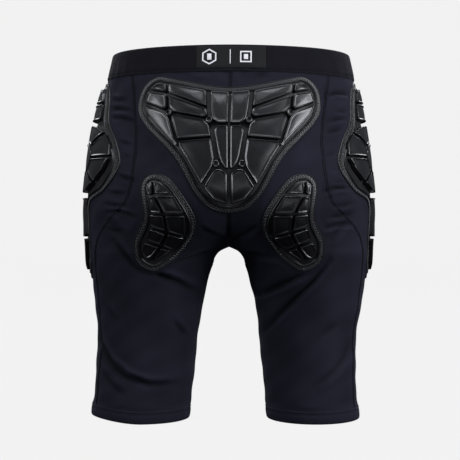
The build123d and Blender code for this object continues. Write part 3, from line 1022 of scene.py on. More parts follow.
def underside(x, y):
    """The height of the body's underside over points of the floor."""
    low = np.full(x.shape, FORK - 2 * GUSSET_DROP)
    high = np.full(x.shape, FORK + 3 * GUSSET_RISE)
    for _ in range(22):
        height = (low + high) / 2
        row = smooth(STATIONS, height)
        across = (np.abs(x) - row[..., 0]) / row[..., 1]
        along = (y - row[..., 3]) / row[..., 2]
        inside = across**2 + along**2 < 1
        high = np.where(inside, height, high)
        low = np.where(inside, low, height)
    return high


class SHORTS_OT_gusset(bpy.types.Operator):
    """Sew the diamond gusset in under the fork"""

    bl_idname = "shorts.gusset"
    bl_label = "Crotch Gusset"

    def execute(self, context):
        heights = np.arange(FORK - GUSSET_DROP, FORK + GUSSET_RISE - 1.0, FORK_STEP)
        rows = []
        for side, levels in ((-1, heights[::-1]), (1, heights[1:])):
            edge = on_body(levels, gusset_edge(side)(levels))
            rows += [(y, max(x, 0.4)) for x, y, _ in edge]
        rows = np.array(rows)
        share = np.linspace(-1, 1, 25)
        x = rows[:, 1][:, None] * share[None, :]
        y = np.broadcast_to(rows[:, 0][:, None], x.shape)
        grid = np.stack([x, y, underside(x, y)], axis=-1)
        du, dv = np.gradient(grid, axis=1), np.gradient(grid, axis=0)
        normals = np.cross(dv, du)
        normals /= np.linalg.norm(normals, axis=-1, keepdims=True)
        normals *= np.where(normals[..., 2:3] > 0, -1, 1)
        thickness = context.scene.shorts_cloth.thickness / MM
        piece = cloth_piece("crotch_gusset_knit", grid, normals, thickness)
        settle(piece, material_for("stretch_knit"), "stretch_knit", "crotch_gusset")
        shade(piece, 60)
        return {"FINISHED"}


# ---- Hems and waistband ----------------------------------------------------------------


def band_grid(profile, columns):
    """A closed band swept round the body: profile rows of height and distance out."""
    angles = np.linspace(0, 2 * math.pi, columns, endpoint=False)
    rows = [on_body(np.full(columns, height), angles, out) for height, out in profile]
    return np.array(rows), angles


def band_piece(name, grid, uv_height):
    """A mesh of a closed band whose last row joins its first."""
    rows, columns = grid.shape[:2]
    faces = []
    for i in range(rows):
        k = (i + 1) % rows
        for j in range(columns):
            n = (j + 1) % columns
            faces.append((i * columns + j, i * columns + n, k * columns + n, k * columns + j))
    run = run_along(grid[0])
    uv = np.stack([np.tile(run, rows), np.repeat(uv_height, columns)], axis=-1)
    piece = new_piece(name, grid.reshape(-1, 3), faces, uv)
    turned_out(piece)
    return piece


HEM_COLUMNS = 190
WAIST_COLUMNS = 420
ELASTIC_COLUMNS = 300
HEM_PROFILE = [
    (HEM_TOP + 0.6, 0.1),
    (HEM_TOP - 0.6, 0.7),
    (HEM_TOP - 2.2, 0.45),
    (HEM_TOP - 3.2, 0.35),
    (HEM_TOP - 5.0, 0.9),
    (9.0, 1.1),
    (6.0, 1.1),
    (3.0, 0.9),
    (1.2, 0.6),
    (0.35, 0.0),
    (0.0, -0.8),
    (0.35, -1.6),
    (1.4, -2.0),
    (6.0, -2.0),
    (HEM_TOP, -1.9),
    (HEM_TOP + 0.6, -1.0),
]


class SHORTS_OT_hems(bpy.types.Operator):
    """Turn up the leg hems"""

    bl_idname = "shorts.hems"
    bl_label = "Leg Hems"

    def execute(self, context):
        grid, angles = band_grid(HEM_PROFILE, HEM_COLUMNS)
        wave = 0.25 * np.sin(9 * angles + 0.6) + 0.15 * np.sin(23 * angles)
        height_share = np.array([row[0] for row in HEM_PROFILE]) / HEM_TOP
        grid += outwards(angles)[None] * (wave[None, :] * height_share[:, None])[..., None]
        for side, placed in (("right", grid), ("left", grid * MIRROR)):
            piece = band_piece(f"leg_hem_{side}_knit", placed, run_along(HEM_PROFILE))
            settle(piece, material_for("hem_knit"), "hem_knit", f"leg_hem_{side}")
            shade(piece, 50)
        return {"FINISHED"}


def waistband_profile():
    """Up the outside from the seam, over the fold and down the inside."""
    bottom, top = BAND_BOTTOM, TOP
    outer = [
        (bottom - 0.7, 0.15),
        (bottom - 0.4, 0.9),
        (bottom + 0.6, 1.2),
        (bottom + 1.8, 1.0),
        (bottom + 2.6, 0.75),
        (bottom + 3.4, 1.05),
        (bottom + 5.0, 1.3),
    ]
    outer += [(bottom + height, 1.35) for height in (8.0, 12.0, 16.0, 20.0, 24.0, 27.0)]
    over = [(top - 1.6, 1.2), (top - 0.6, 0.7), (top - 0.05, -0.2), (top - 0.1, -1.2), (top - 1.0, -2.0)]
    inner = [(bottom + height, -2.2) for height in (24.0, 16.0, 8.0, 1.0)]
    return outer + over + inner + [(bottom - 0.4, -1.5)]


def outwards(angles):
    """Level unit vectors at some angles round the body."""
    return np.stack([np.cos(angles), np.sin(angles), 0 * angles], axis=-1)


def waist_grid(profile, columns):
    """A band round the whole waist, with soft waves that grow towards its lower edge."""
    grid, angles = band_grid(profile, columns)
    lower = ramp(TOP - grid[..., 2], 4.0, 30.0)
    pucker = np.sin(41 * angles + 2 * np.sin(5 * angles))
    shift = 0.3 * np.sin(7 * angles + 0.4) + lower * 0.28 * pucker
    return grid + outwards(angles)[None] * shift[..., None]


class SHORTS_OT_waistband(bpy.types.Operator):
    """Fold the waistband over its elastic"""

    bl_idname = "shorts.waistband"
    bl_label = "Waistband"

    def execute(self, context):
        profile = waistband_profile()
        grid = waist_grid(profile, WAIST_COLUMNS)
        piece = band_piece("waistband_knit", grid, run_along(profile))
        settle(piece, material_for("waistband_knit"), "waistband_knit", "waistband")
        shade(piece, 50)
        low, high = BAND_BOTTOM + 1.6, TOP - 3.0
        ribs = [(height, -1.0 + 0.25 * math.cos(height * 2.4)) for height in np.linspace(low, high, 25)]
        back = [(height, out - 1.0) for height, out in reversed(ribs)]
        grid = waist_grid(ribs + back, ELASTIC_COLUMNS)
        elastic = band_piece("waistband_elastic_strip", grid, run_along(ribs + back))
        settle(elastic, material_for("elastic"), "elastic", "waistband_elastic")
        shade(elastic, 50)
        return {"FINISHED"}


# ---- Waist patch -----------------------------------------------------------------------

PATCH_WIDTH = 80.0
PATCH_HEIGHT = 25.5
PATCH_OUT = 1.5
MARK_SIZE = 9.4
MARK_SPACING = 20.0
MARK_THICKNESS = 0.3


def wrap_on_waist(piece, lift):
    """Lay a flat piece, drawn in x and z with its thickness in -y, round the waist."""
    move_points(piece, lambda flat: back_point(flat[:, 0], flat[:, 2], lift - flat[:, 1]))


class SHORTS_OT_patch(bpy.types.Operator):
    """Sew the patch with its plain marks on the waistband"""

    bl_idname = "shorts.patch"
    bl_label = "Waist Patch"

    def execute(self, context):
        middle = (BAND_BOTTOM + TOP) / 2 + 0.6
        xs = np.linspace(-PATCH_WIDTH / 2, PATCH_WIDTH / 2, 61)
        zs = np.linspace(middle - PATCH_HEIGHT / 2, middle + PATCH_HEIGHT / 2, 19)
        x, z = np.meshgrid(xs, zs)
        edge = np.minimum(PATCH_WIDTH / 2 - np.abs(x), PATCH_HEIGHT / 2 - np.abs(z - middle))
        out = PATCH_OUT + 0.55 * ramp(edge, -0.1, 1.4) - 0.18 * np.exp(-((edge - 2.2) / 0.7) ** 2)
        piece = cloth_piece("waist_patch_cloth", back_point(x, z, out), back_normal(x, z), 0.6)
        settle(piece, material_for("patch_fabric"), "patch_fabric", "waist_patch")
        shade(piece, 50)
        left, right = -1.25 * MARK_SPACING, 0.85 * MARK_SPACING
        marks = [mark_ring(left, middle, 6, 0.0), mark_ring(right, middle, 4, 45.0)]
        marks += [mark_bar(left, middle, 3.6), mark_bar(right, middle, 3.0)]
        marks.append(mark_bar(-1.0, middle, 8.4, 0.45))
        pick(*marks)
        bpy.ops.object.join()
        joined = bpy.context.view_layer.objects.active
        joined.name = "patch_marks_print"
        wrap_on_waist(joined, PATCH_OUT + 0.6)
        settle(joined, material_for("mark_print"), "mark_print", "patch_marks")
        shade(joined, 40)
        stitch_patch(middle)
        return {"FINISHED"}


def stitch_patch(middle):
    """A row of stitches just inside the edge of the patch."""
    half_w, half_h = PATCH_WIDTH / 2 - 2.2, PATCH_HEIGHT / 2 - 2.2
    corners = [(-half_w, -half_h), (half_w, -half_h), (half_w, half_h), (-half_w, half_h)]
    paths = []
    for (x0, z0), (x1, z1) in zip(corners, corners[1:] + corners[:1]):
        length = math.hypot(x1 - x0, z1 - z0)
        count = int(length / 2.6)
        for i in range(count):
            ends = [(i + share) / count for share in (0.12, 0.5, 0.88)]
            x = np.array([x0 + (x1 - x0) * share for share in ends])
            z = np.array([middle + z0 + (z1 - z0) * share for share in ends])
            paths.append(back_point(x, z, [1.78, 2.0, 1.78]))
    sew("patch_stitching", paths, PATCH_THREAD)


def primitive(name):
    """The piece that an operator has just added, renamed."""
    piece = bpy.context.view_layer.objects.active
    piece.name = name
    return piece


def mark_ring(x, z, sides, turn):
    """A flat ring with straight sides, standing in the x-z plane."""
    bpy.ops.object.select_all(action="DESELECT")
    bpy.ops.mesh.primitive_circle_add(
        vertices=sides, radius=MARK_SIZE * MM, fill_type="NGON", location=(x * MM, 0, z * MM),
        rotation=(math.radians(90), math.radians(turn), 0),
    )
    ring = primitive("mark_ring")
    bpy.ops.object.mode_set(mode="EDIT")
    bpy.ops.mesh.select_all(action="SELECT")
    bpy.ops.mesh.inset(thickness=1.5 * MM)
    bpy.ops.mesh.delete(type="FACE")
    bpy.ops.mesh.select_all(action="SELECT")
    bpy.ops.mesh.subdivide(number_cuts=4)
    bpy.ops.mesh.extrude_region_move(TRANSFORM_OT_translate={"value": (0, -MARK_THICKNESS * MM, 0)})
    bpy.ops.mesh.select_all(action="SELECT")
    bpy.ops.mesh.normals_make_consistent(inside=False)
    bpy.ops.object.mode_set(mode="OBJECT")
    bpy.ops.object.transform_apply(location=True, rotation=True, scale=True)
    return ring


def mark_bar(x, z, half_height, half_width=2.4):
    """A small bevelled bar in the x-z plane."""
    bpy.ops.object.select_all(action="DESELECT")
    bpy.ops.mesh.primitive_cube_add(size=1.0, location=(x * MM, -MARK_THICKNESS / 2 * MM, z * MM))
    bar = primitive("mark_bar")
    bar.scale = (2 * half_width * MM, MARK_THICKNESS * MM, 2 * half_height * MM)
    bpy.ops.object.transform_apply(location=True, rotation=True, scale=True)
    bpy.ops.object.mode_set(mode="EDIT")
    bpy.ops.mesh.select_all(action="SELECT")
    bpy.ops.mesh.bevel(offset=0.1 * MM, segments=2, affect="EDGES")
    bpy.ops.object.mode_set(mode="OBJECT")
    return bar


# ---- Impact pads -----------------------------------------------------------------------


BRIDGE_HALF_WIDTH = 16.0


def bridged_back_point(across, height, lift):
    """As back_point, with the cleft of the seat bridged near the middle."""
    half = BRIDGE_HALF_WIDTH
    beside = back_point(np.full(np.shape(across), half), height, lift)
    straight = np.stack([across, beside[..., 1], beside[..., 2]], axis=-1)
    real = back_point(across, height, lift)
    near = (1 - ramp(np.abs(across), 0.25 * half, 1.6 * half)) * (1 - ramp(height, FORK + 62, FORK + 92))
    return real + (straight - real) * near[..., None]


def side_point(across, height, lift):
    """A place seen from the side, put on the outer side of the right half."""
    angle = angle_at_y(height, across)
    return on_body(height, angle) + body_normal(height, angle) * np.asarray(lift)[..., None]


def signed_area(loop):
    """Twice the area of a loop, below zero where it runs clockwise."""
    x, y = loop[:, 0], loop[:, 1]
    return np.sum(x * np.roll(y, -1) - np.roll(x, -1) * y)


def inset_loop(loop, amount):
    """A loop moved inwards by an even distance."""
    loop = np.asarray(loop, float)
    along = np.roll(loop, -1, axis=0) - np.roll(loop, 1, axis=0)
    along /= np.linalg.norm(along, axis=1, keepdims=True)
    inward = np.stack([-along[:, 1], along[:, 0]], axis=-1) * np.sign(signed_area(loop))
    return loop + inward * amount


def inset_corners(corners, amount):
    """A polygon with each side moved inwards by a distance."""
    corners = np.asarray(corners, float)
    if signed_area(corners) < 0:
        corners = corners[::-1]
    moved = []
    for before, here, after in zip(np.roll(corners, 1, axis=0), corners, np.roll(corners, -1, axis=0)):
        bend = np.zeros(2)
        for side in (here - before, after - here):
            bend += np.array([-side[1], side[0]]) / np.linalg.norm(side)
        moved.append(here + bend * (2 * amount / max(float(bend @ bend), 0.8)))
    return np.array(moved)


def round_corners(corners, radius, step):
    """A polygon with rounded corners and even points along its sides."""
    loop = []
    count = len(corners)
    for i in range(count):
        before, here, after = corners[i - 1], corners[i], corners[(i + 1) % count]
        to_before, to_after = before - here, after - here
        length_a, length_b = np.linalg.norm(to_before), np.linalg.norm(to_after)
        to_end = to_after / length_b * min(radius, 0.4 * length_b)
        a, b = here + to_before / length_a * min(radius, 0.4 * length_a), here + to_end
        for t in np.linspace(0, 1, 5):
            loop.append((1 - t) ** 2 * a + 2 * t * (1 - t) * here + t * t * b)
        end = after - to_end
        run = np.linalg.norm(end - b)
        for t in np.linspace(0, 1, max(2, int(run / step)) + 1)[1:-1]:
            loop.append(b + (end - b) * t)
    return np.array(loop)


def ringed_mesh(rings, place):
    """Vertices and faces of nested loops put on the body, closed by a fan at either end."""
    count = len(rings[0][0])
    vertices = np.vstack([
        place(loop[:, 0], loop[:, 1], np.broadcast_to(np.asarray(lift, float), (count,)))
        for loop, lift in rings
    ])
    ends = [vertices[-count:].mean(axis=0), vertices[:count].mean(axis=0)]
    total = len(vertices)
    faces = []
    for start in range(0, total - count, count):
        for j in range(count):
            n = (j + 1) % count
            faces.append((start + j, start + n, start + count + n, start + count + j))
    start = total - count
    faces += [(start + j, start + (j + 1) % count, total) for j in range(count)]
    faces += [((j + 1) % count, j, total + 1) for j in range(count)]
    return np.vstack([vertices] + ends), faces


HUB_REACH = 7.0                                 # corners nearer than this meet at a hub
HUB_CUT = 5.6


def cut_hub_corners(corners, hubs):
    """A polygon with its corners cut back where blocks meet at a round hub."""
    corners = [np.array(corner, float) for corner in corners]
    cut = []
    for i, here in enumerate(corners):
        if not any(np.linalg.norm(here - hub) < HUB_REACH for hub in hubs):
            cut.append(here)
            continue
        for other in (corners[i - 1], corners[(i + 1) % len(corners)]):
            run = np.linalg.norm(other - here)
            cut.append(here + (other - here) * min(HUB_CUT / run, 0.4))
    return cut


BLOCK_STYLE = {"groove": 2.2, "corner": 3.0, "bead": 0.95, "crown": 0.8, "tilt": 0.03, "dome": 1.5}
# The rim of a block: distance in, height of the foot's rings, share of the bead's height.
BLOCK_RIM = [
    (0.2, -0.9, 0.0),
    (0.3, -0.1, 0.0),
    (0.6, 0.0, 0.72),
    (1.05, 0.0, 1.0),
    (1.55, 0.0, 0.82),
    (2.0, 0.0, 0.2),
]
# The crown of a block: share of the way from the rim to the middle, share of its height.
BLOCK_CROWN = [(0.06, -0.12), (0.2, -0.05), (0.4, 0.1), (0.6, 0.22), (0.8, 0.32), (0.93, 0.36)]
BEAD_RINGS = range(3, 7)                        # the rings that the rim's bead fades in
SUNK = 0.6                                      # how far blocks and hubs reach into the skin


def block_mesh(corners, place, base, height, outline, lean):
    """One raised block: steep sides, a thin bead round the rim and a crowned, tilted top."""
    style = BLOCK_STYLE
    loop = round_corners(inset_corners(corners, style["groove"] / 2), style["corner"], 2.0)
    middle = loop.mean(axis=0)
    rings = [(inset_loop(loop, 0.15), 0.3 * (base - height))]
    rings += [(inset_loop(loop, inset), foot + share * style["bead"]) for inset, foot, share in BLOCK_RIM]
    top = rings[-1][0]
    rings += [(top + (middle - top) * share, rise * style["crown"]) for share, rise in BLOCK_CROWN]
    shaped = [(loop, base - SUNK)]
    for index, (ring, lift) in enumerate(rings):
        gap = distance_to(ring, outline, closed=True)[0]
        if index in BEAD_RINGS:
            lift = lift * (0.2 + 0.8 * ramp(gap, 10.0, 14.0))
        dome = style["dome"] * (1 - ramp(gap, 5.0, 24.0))
        shaped.append((ring, height + lift - (dome - (ring - middle) @ np.asarray(lean))))
    return ringed_mesh(shaped, place)


def hub_mesh(hub, place, base, height):
    """A small raised ring with a sunk middle, where the grooves cross."""
    turns = np.radians(22.5 + 45.0 * np.arange(8))
    circle = np.column_stack([np.cos(turns), np.sin(turns)])
    profile = [
        (4.1, base - SUNK), (4.1, height - 1.9), (3.8, height - 0.9), (3.2, height - 0.6),
        (2.6, height - 0.9), (2.3, height - 2.4), (1.2, height - 2.6),
    ]
    return ringed_mesh([(np.array(hub) + radius * circle, level) for radius, level in profile], place)


FLANGE = 6.4                                    # width of the sewn edge
CHANNEL_SHARE = 0.55                            # of the flange's height, under the stitches
# A flange with its stitch channel: distance in and share of its height.
SKIN_FLANGE = [
    (0.1, 0.5),
    (0.35, 0.95),
    (0.8, 1.1),
    (1.2, 0.9),
    (1.5, CHANNEL_SHARE),
    (4.5, CHANNEL_SHARE),
    (4.8, 0.95),
    (5.3, 1.05),
    (FLANGE - 0.6, 0.6),
]
# The low lip inside a flange: distance in and height over the flange.
SKIN_LIP = [
    (FLANGE - 0.2, 1.0),
    (FLANGE + 0.3, 1.5),
    (FLANGE + 0.9, 1.2),
    (FLANGE + 1.3, 0.4),
    (FLANGE + 1.6, 0.0),
]
SKIN_FLOOR = (0.12, 0.25, 0.4, 0.55, 0.7, 0.85, 0.95)


def skin_mesh(loop, middle, place, height):
    """The skin of a pad: a rounded edge, a flat flange with a stitch channel, a low lip."""
    rings = [(loop, -0.3)]
    rings += [(inset_loop(loop, inset), share * height) for inset, share in SKIN_FLANGE]
    rings += [(inset_loop(loop, inset), height + rise) for inset, rise in SKIN_LIP]
    inner = rings[-1][0]
    rings += [(inner + (np.array(middle) - inner) * share, height) for share in SKIN_FLOOR]
    return ringed_mesh(rings, place)


def merged(parts):
    """Several vertex and face lists as one."""
    vertices, faces, start = [], [], 0
    for part_vertices, part_faces in parts:
        vertices.append(part_vertices)
        faces += [tuple(i + start for i in face) for face in part_faces]
        start += len(part_vertices)
    return np.vstack(vertices), faces


TAILBONE_HUBS = [(68, 113), (22, 104), (14.5, 54)]
SEAT_FACET = 7
SEAT_FACET_TILT = (-0.16, 0.12)
ZIGZAG_INSET = 3.0
ZIGZAG_HALF_WIDTH = 1.45
ZIGZAG_PITCH = 3.3
ZIGZAG_RADIUS = 0.42
ZIGZAG_LIFT = 0.5                               # over the floor of the stitch channel


def closed(loop):
    """A loop with its first point again at the end."""
    return np.vstack([loop, loop[:1]])


def pad_stitches(name, loop, place, lift):
    """Zigzag stitches along a flange."""
    run = run_along(closed(inset_loop(loop, ZIGZAG_INSET)))
    edges = [
        closed(inset_loop(loop, ZIGZAG_INSET + side * ZIGZAG_HALF_WIDTH)) for side in (-1, 1)
    ]
    steps = np.linspace(0, run[-1], 2 * int(run[-1] / ZIGZAG_PITCH), endpoint=False)
    points = np.array([
        [np.interp(step, run, edges[i % 2][:, k]) for k in (0, 1)] for i, step in enumerate(steps)
    ])
    placed = place(points[:, 0], points[:, 1], np.full(len(points), lift))
    return thread_piece(name, [closed(placed)], ZIGZAG_RADIUS)


def make_pad(name, loop, blocks, place, middle, height, mirror=False, hubs=(), tilts=None):
    """Skin, blocks and stitching of one pad, or of a pair."""
    skin = bpy.context.scene.shorts_pads.skin_height / MM
    parts = []
    for index, corners in enumerate(blocks):
        turn = 2.4 * index
        lean = BLOCK_STYLE["tilt"] * np.array([math.cos(turn), math.sin(turn)])
        lean = (tilts or {}).get(index, lean)
        corners = cut_hub_corners(corners, hubs)
        parts.append(block_mesh(corners, place, skin, height, loop[::3], lean))
    parts += [hub_mesh(hub, place, skin, height) for hub in hubs]
    skin_piece = new_piece(f"{name}_skin_moulded", *skin_mesh(loop, middle, place, skin))
    block_piece = new_piece(f"{name}_blocks_moulded", *merged(parts))
    stitch_piece = pad_stitches(f"{name}_stitching", loop, place, CHANNEL_SHARE * skin + ZIGZAG_LIFT)
    for piece, label, finish, slot, node in (
        (skin_piece, "skin_moulded", "pad_skin", "pad_skin", f"{name}_skin"),
        (block_piece, "blocks_moulded", "pad_blocks", "pad_blocks", f"{name}_blocks"),
        (stitch_piece, "stitching", "pad_thread", "thread", None),
    ):
        turned_out(piece)
        sides = [(piece, "")]
        if mirror:
            sides = [(piece, "_right"), (mirrored_piece(piece, "mirrored"), "_left")]
        for copy, side in sides:
            copy.name = f"{name}_{label}{side}"
            settle(copy, material_for(finish), slot, *([node + side] if node else []))
            shade(copy, 35 if slot == "pad_blocks" else 50)


class SHORTS_OT_tailbone_pad(bpy.types.Operator):
    """Mould the tailbone pad and sew it on"""

    bl_idname = "shorts.tailbone_pad"
    bl_label = "Tailbone Pad"

    def execute(self, context):
        height = context.scene.shorts_pads.block_height / MM
        half = [lifted(block, TAILBONE_LIFT) for block in TAILBONE_BLOCKS]
        hubs = lifted(TAILBONE_HUBS, TAILBONE_LIFT)
        hubs += [(-x, z) for x, z in hubs]
        blocks = half + [[(-x, z) for x, z in block] for block in half]
        make_pad(
            "tailbone_pad", tailbone_loop, blocks, bridged_back_point, (0.0, TAILBONE_LIFT + 92.0),
            height, hubs=hubs,
        )
        return {"FINISHED"}


class SHORTS_OT_seat_pads(bpy.types.Operator):
    """Mould the two lower seat pads and sew them on"""

    bl_idname = "shorts.seat_pads"
    bl_label = "Seat Pads"

    def execute(self, context):
        height = context.scene.shorts_pads.seat_block_height / MM
        blocks = [lifted(block, SEAT_LIFT) for block in SEAT_BLOCKS]
        make_pad(
            "seat_pad", seat_loop, blocks, back_point, (75.0, SEAT_LIFT + 56.0),
            height, mirror=True, tilts={SEAT_FACET: SEAT_FACET_TILT},
        )
        return {"FINISHED"}


class SHORTS_OT_hip_pads(bpy.types.Operator):
    """Mould the two hip pads and sew them on"""

    bl_idname = "shorts.hip_pads"
    bl_label = "Hip Pads"

    def execute(self, context):
        height = context.scene.shorts_pads.block_height / MM
        blocks = [lifted(block, HIP_LIFT) for block in hip_blocks()]
        make_pad(
            "hip_pad", hip_loop, blocks, side_point, (-14.0, HIP_LIFT + 122.0), height, mirror=True
        )
        return {"FINISHED"}


# ---- Seam stitching --------------------------------------------------------------------


SEAM_HALF_WIDTH = 1.7


def flatlock(count):
    """Offsets across a seam of a zigzag and of the two straight rows beside it."""
    rows = [np.full(count, side * SEAM_HALF_WIDTH) for side in (-1.0, 1.0)]
    return [zigzag(count, SEAM_HALF_WIDTH)] + rows


def seam_paths(heights, angle, pitch, side):
    """Flatlock stitches along a seam."""
    fine = np.arange(heights[0], heights[1], pitch / 2)
    centre = angle(fine)
    row = smooth(STATIONS, fine)
    radius = np.hypot(row[:, 1] * np.sin(centre), row[:, 2] * np.cos(centre))
    paths = []
    for index, offset in enumerate(flatlock(len(fine))):
        turned = centre + offset / np.maximum(radius, 20)
        normal = body_normal(fine, turned)
        points = on_body(fine, turned)
        if side < 0:
            points, normal = points * MIRROR, normal * MIRROR
        relief = fabric_relief(points, normal) * bpy.context.scene.shorts_cloth.fold_strength
        lift = relief + (0.12 if index == 0 else 0.2)
        paths.append(points + normal * lift[:, None])
    return paths


def inseam(height):
    """The inner side of a leg."""
    return np.full(np.shape(height), math.pi)


class SHORTS_OT_seams(bpy.types.Operator):
    """Stitch the seams, the hems and the waistband"""

    bl_idname = "shorts.seams"
    bl_label = "Seam Stitching"

    def execute(self, context):
        pitch = context.scene.shorts_cloth.stitch_pitch / MM
        bottom, top = HEM_TOP + 1.0, BAND_BOTTOM - 1.0
        seams = [
            ("back_seam", seam_edge(BACK_PRINCESS, -1), (bottom, top)),
            ("front_seam", seam_edge(FRONT_PRINCESS, 1), (bottom, top)),
            ("inseam", inseam, (bottom, FORK - GUSSET_DROP)),
        ]
        for name, angle, span in seams:
            for side, label in ((1, "right"), (-1, "left")):
                node = f"{name}_{label}"
                sew(f"{node}_stitching", seam_paths(span, angle, pitch, side), SEAM_THREAD, node)
        tail_top = TAILBONE_LIFT + TAILBONE_OUTLINE[-1][1]
        middles = [
            ("centre_back_seam", -1, [(FORK + 12, TAILBONE_LIFT), (tail_top, top)]),
            ("centre_front_seam", 1, [(FORK + 12, top)]),
        ]
        for name, side, spans in middles:
            paths = [path for span in spans for path in centre_paths(span, side, pitch)]
            sew(f"{name}_stitching", paths, SEAM_THREAD, name)
        stitch_bands(pitch)
        return {"FINISHED"}


def centre_paths(span, side, pitch):
    """Flatlock stitches up the middle of the body."""
    fine = np.arange(span[0], span[1], pitch / 2)
    paths = []
    for offset in flatlock(len(fine)):
        angle = angle_at_x(fine, np.abs(offset), side)
        points, normal = on_body(fine, angle), body_normal(fine, angle)
        points[:, 0] = offset
        normal[:, 0] *= np.sign(offset)
        paths.append(points + 0.15 * normal)
    return paths


def stitch_bands(pitch):
    """Straight rows of stitches round the hems and along the waistband."""
    for side, label in ((1, "right"), (-1, "left")):
        paths = []
        for height in (HEM_TOP - 1.4, HEM_TOP - 3.9):
            paths += dashes(height, 0.62, pitch, side)
        sew(f"hem_stitching_{label}", paths, HEM_THREAD)
    sew("waistband_stitching", dashes(BAND_BOTTOM + 2.4, 1.0, pitch, 1), SEAM_THREAD)


DASH_GAP = 1.0


def dashes(height, out, pitch, side):
    """Short stitches round a closed band."""
    length = pitch + DASH_GAP
    row = smooth(STATIONS, height)
    count = int(math.pi * (row[1] + row[2]) / length)
    paths = []
    for i in range(count):
        angles = 2 * math.pi * (i + np.array([0.1, 0.5, 0.9]) * pitch / length) / count
        points = on_body(np.full(3, height), angles, np.array([out, out + 0.22, out]))
        paths.append(points * [side, 1, 1])
    return paths


# ---- Stage -----------------------------------------------------------------------------


WORLD_LIGHT = (0.11, 0.113, 0.125, 1)
LIGHT_COLOUR = (0.93, 0.95, 1.0)
# Name, place, width and height, share of the stage's power.
LIGHTS = [
    ("key", (1.7, -0.95, 0.72), (0.8, 1.3), 0.92),
    ("fill", (-1.6, -0.9, 0.8), (0.55, 1.3), 0.44),
    ("top", (0.15, -0.75, 1.9), (1.3, 0.45), 0.42),
    ("low", (0.1, -1.35, 0.03), (1.3, 0.3), 0.05),
    ("front_right", (1.0, 1.9, 1.75), (1.2, 0.9), 0.55),
    ("front_left", (-1.1, 1.8, 1.65), (1.2, 0.9), 0.5),
]
CAMERA_ASIDE = 0.0012
CAMERA_HEIGHT = 0.2319
LENS = 94.7                                     # at the distance below
LENS_DISTANCE = 1.5


def pale(name, tone):
    """A pale finish that the camera sees at an even tone."""
    material = bpy.data.materials.new(name)
    material.use_nodes = True
    tree = material.node_tree
    seen = tree.nodes.new("ShaderNodeLightPath").outputs["Is Camera Ray"]
    for label, value in (
        ("Base Color", (0.008, 0.008, 0.008, 1)),
        ("Roughness", 0.9),
        ("Specular IOR Level", 0.0),
        ("Emission Color", (1, 1, 1, 1)),
        ("Emission Strength", maths(tree, "MULTIPLY", seen, tone)),
    ):
        feed(tree, tree.nodes["Principled BSDF"].inputs[label], value)
    return material


def studio_world(world, tone):
    """Set a world that the camera sees at an even tone and that lights the shorts softly."""
    world.use_nodes = True
    tree = world.node_tree
    tree.nodes.clear()
    rays = tree.nodes.new("ShaderNodeLightPath")
    mix = add_node(tree, "ShaderNodeMixShader", Fac=rays.outputs["Is Camera Ray"])
    for index, colour in ((1, WORLD_LIGHT), (2, (tone, tone, tone, 1))):
        glow = add_node(tree, "ShaderNodeBackground", Color=colour)
        feed(tree, mix.inputs[index], glow.outputs[0])
    feed(tree, tree.nodes.new("ShaderNodeOutputWorld").inputs[0], mix.outputs[0])


def soft_light(name, place, size, power):
    """A large soft light aimed at the middle of the shorts."""
    lamp = bpy.data.lights.new(name, "AREA")
    lamp.shape = "RECTANGLE"
    lamp.size, lamp.size_y = size
    lamp.energy = power
    lamp.color = LIGHT_COLOUR
    light = add_object(name, lamp)
    light.location = place
    aim = Vector((0, 0, TOP * MM / 2)) - Vector(place)
    light.rotation_euler = aim.to_track_quat("-Z", "Y").to_euler()


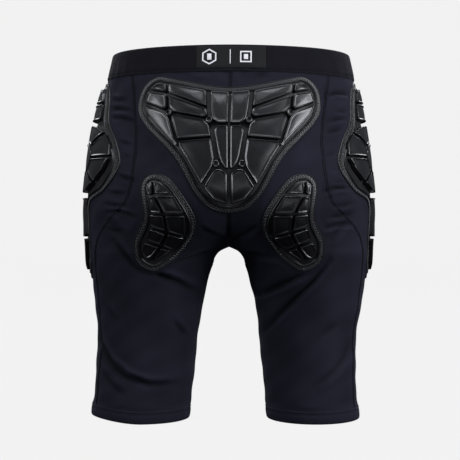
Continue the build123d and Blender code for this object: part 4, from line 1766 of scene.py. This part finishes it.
class SHORTS_OT_stage(bpy.types.Operator):
    """Lay the floor and set the lights and the camera"""

    bl_idname = "shorts.stage"
    bl_label = "Stage"

    def execute(self, context):
        settings = context.scene.shorts_stage
        bpy.ops.object.select_all(action="DESELECT")
        bpy.ops.mesh.primitive_circle_add(vertices=96, radius=9.0, fill_type="NGON", location=(0, 0, 0))
        floor = primitive("floor")
        floor.data.materials.append(pale("pale_floor", settings.floor_tone - 0.004))
        context.scene.world = context.scene.world or bpy.data.worlds.new("studio")
        studio_world(context.scene.world, settings.floor_tone)
        for name, place, size, share in LIGHTS:
            soft_light(name, place, size, share * settings.key_power)
        camera_data = bpy.data.cameras.new("camera")
        camera_data.sensor_width = 36.0
        camera_data.lens = LENS * settings.distance / LENS_DISTANCE
        camera = add_object("camera", camera_data)
        camera.location = (CAMERA_ASIDE, FORWARD * MM - settings.distance, CAMERA_HEIGHT)
        camera.rotation_euler = (math.radians(90), 0, 0)
        context.scene.camera = camera
        context.scene.view_settings.view_transform = "Standard"
        return {"FINISHED"}


OPERATORS = (
    SHORTS_OT_stage,
    SHORTS_OT_panels,
    SHORTS_OT_gusset,
    SHORTS_OT_hems,
    SHORTS_OT_waistband,
    SHORTS_OT_patch,
    SHORTS_OT_tailbone_pad,
    SHORTS_OT_seat_pads,
    SHORTS_OT_hip_pads,
    SHORTS_OT_seams,
)


class SHORTS_PT_panel(bpy.types.Panel):
    """Lists the settings and the steps of the shorts"""

    bl_idname = "SHORTS_PT_panel"
    bl_label = "Padded Impact Shorts"
    bl_space_type = "VIEW_3D"
    bl_region_type = "UI"
    bl_category = "Shorts"

    def draw(self, context):
        scene = context.scene
        for settings in (scene.shorts_cloth, scene.shorts_pads, scene.shorts_stage):
            box = self.layout.box()
            for name in settings.__annotations__:
                box.prop(settings, name)
        for step in OPERATORS:
            self.layout.operator(step.bl_idname)


CLASSES = (ShortsCloth, ShortsPads, ShortsStage) + OPERATORS + (SHORTS_PT_panel,)


def register():
    for item in CLASSES:
        bpy.utils.register_class(item)
    bpy.types.Scene.shorts_cloth = bpy.props.PointerProperty(type=ShortsCloth)
    bpy.types.Scene.shorts_pads = bpy.props.PointerProperty(type=ShortsPads)
    bpy.types.Scene.shorts_stage = bpy.props.PointerProperty(type=ShortsStage)


def unregister():
    del bpy.types.Scene.shorts_cloth
    del bpy.types.Scene.shorts_pads
    del bpy.types.Scene.shorts_stage
    for item in reversed(CLASSES):
        bpy.utils.unregister_class(item)


def main():
    register()
    for step in OPERATORS:
        family, name = step.bl_idname.split(".")
        getattr(getattr(bpy.ops, family), name)()


if __name__ == "__main__":
    main()
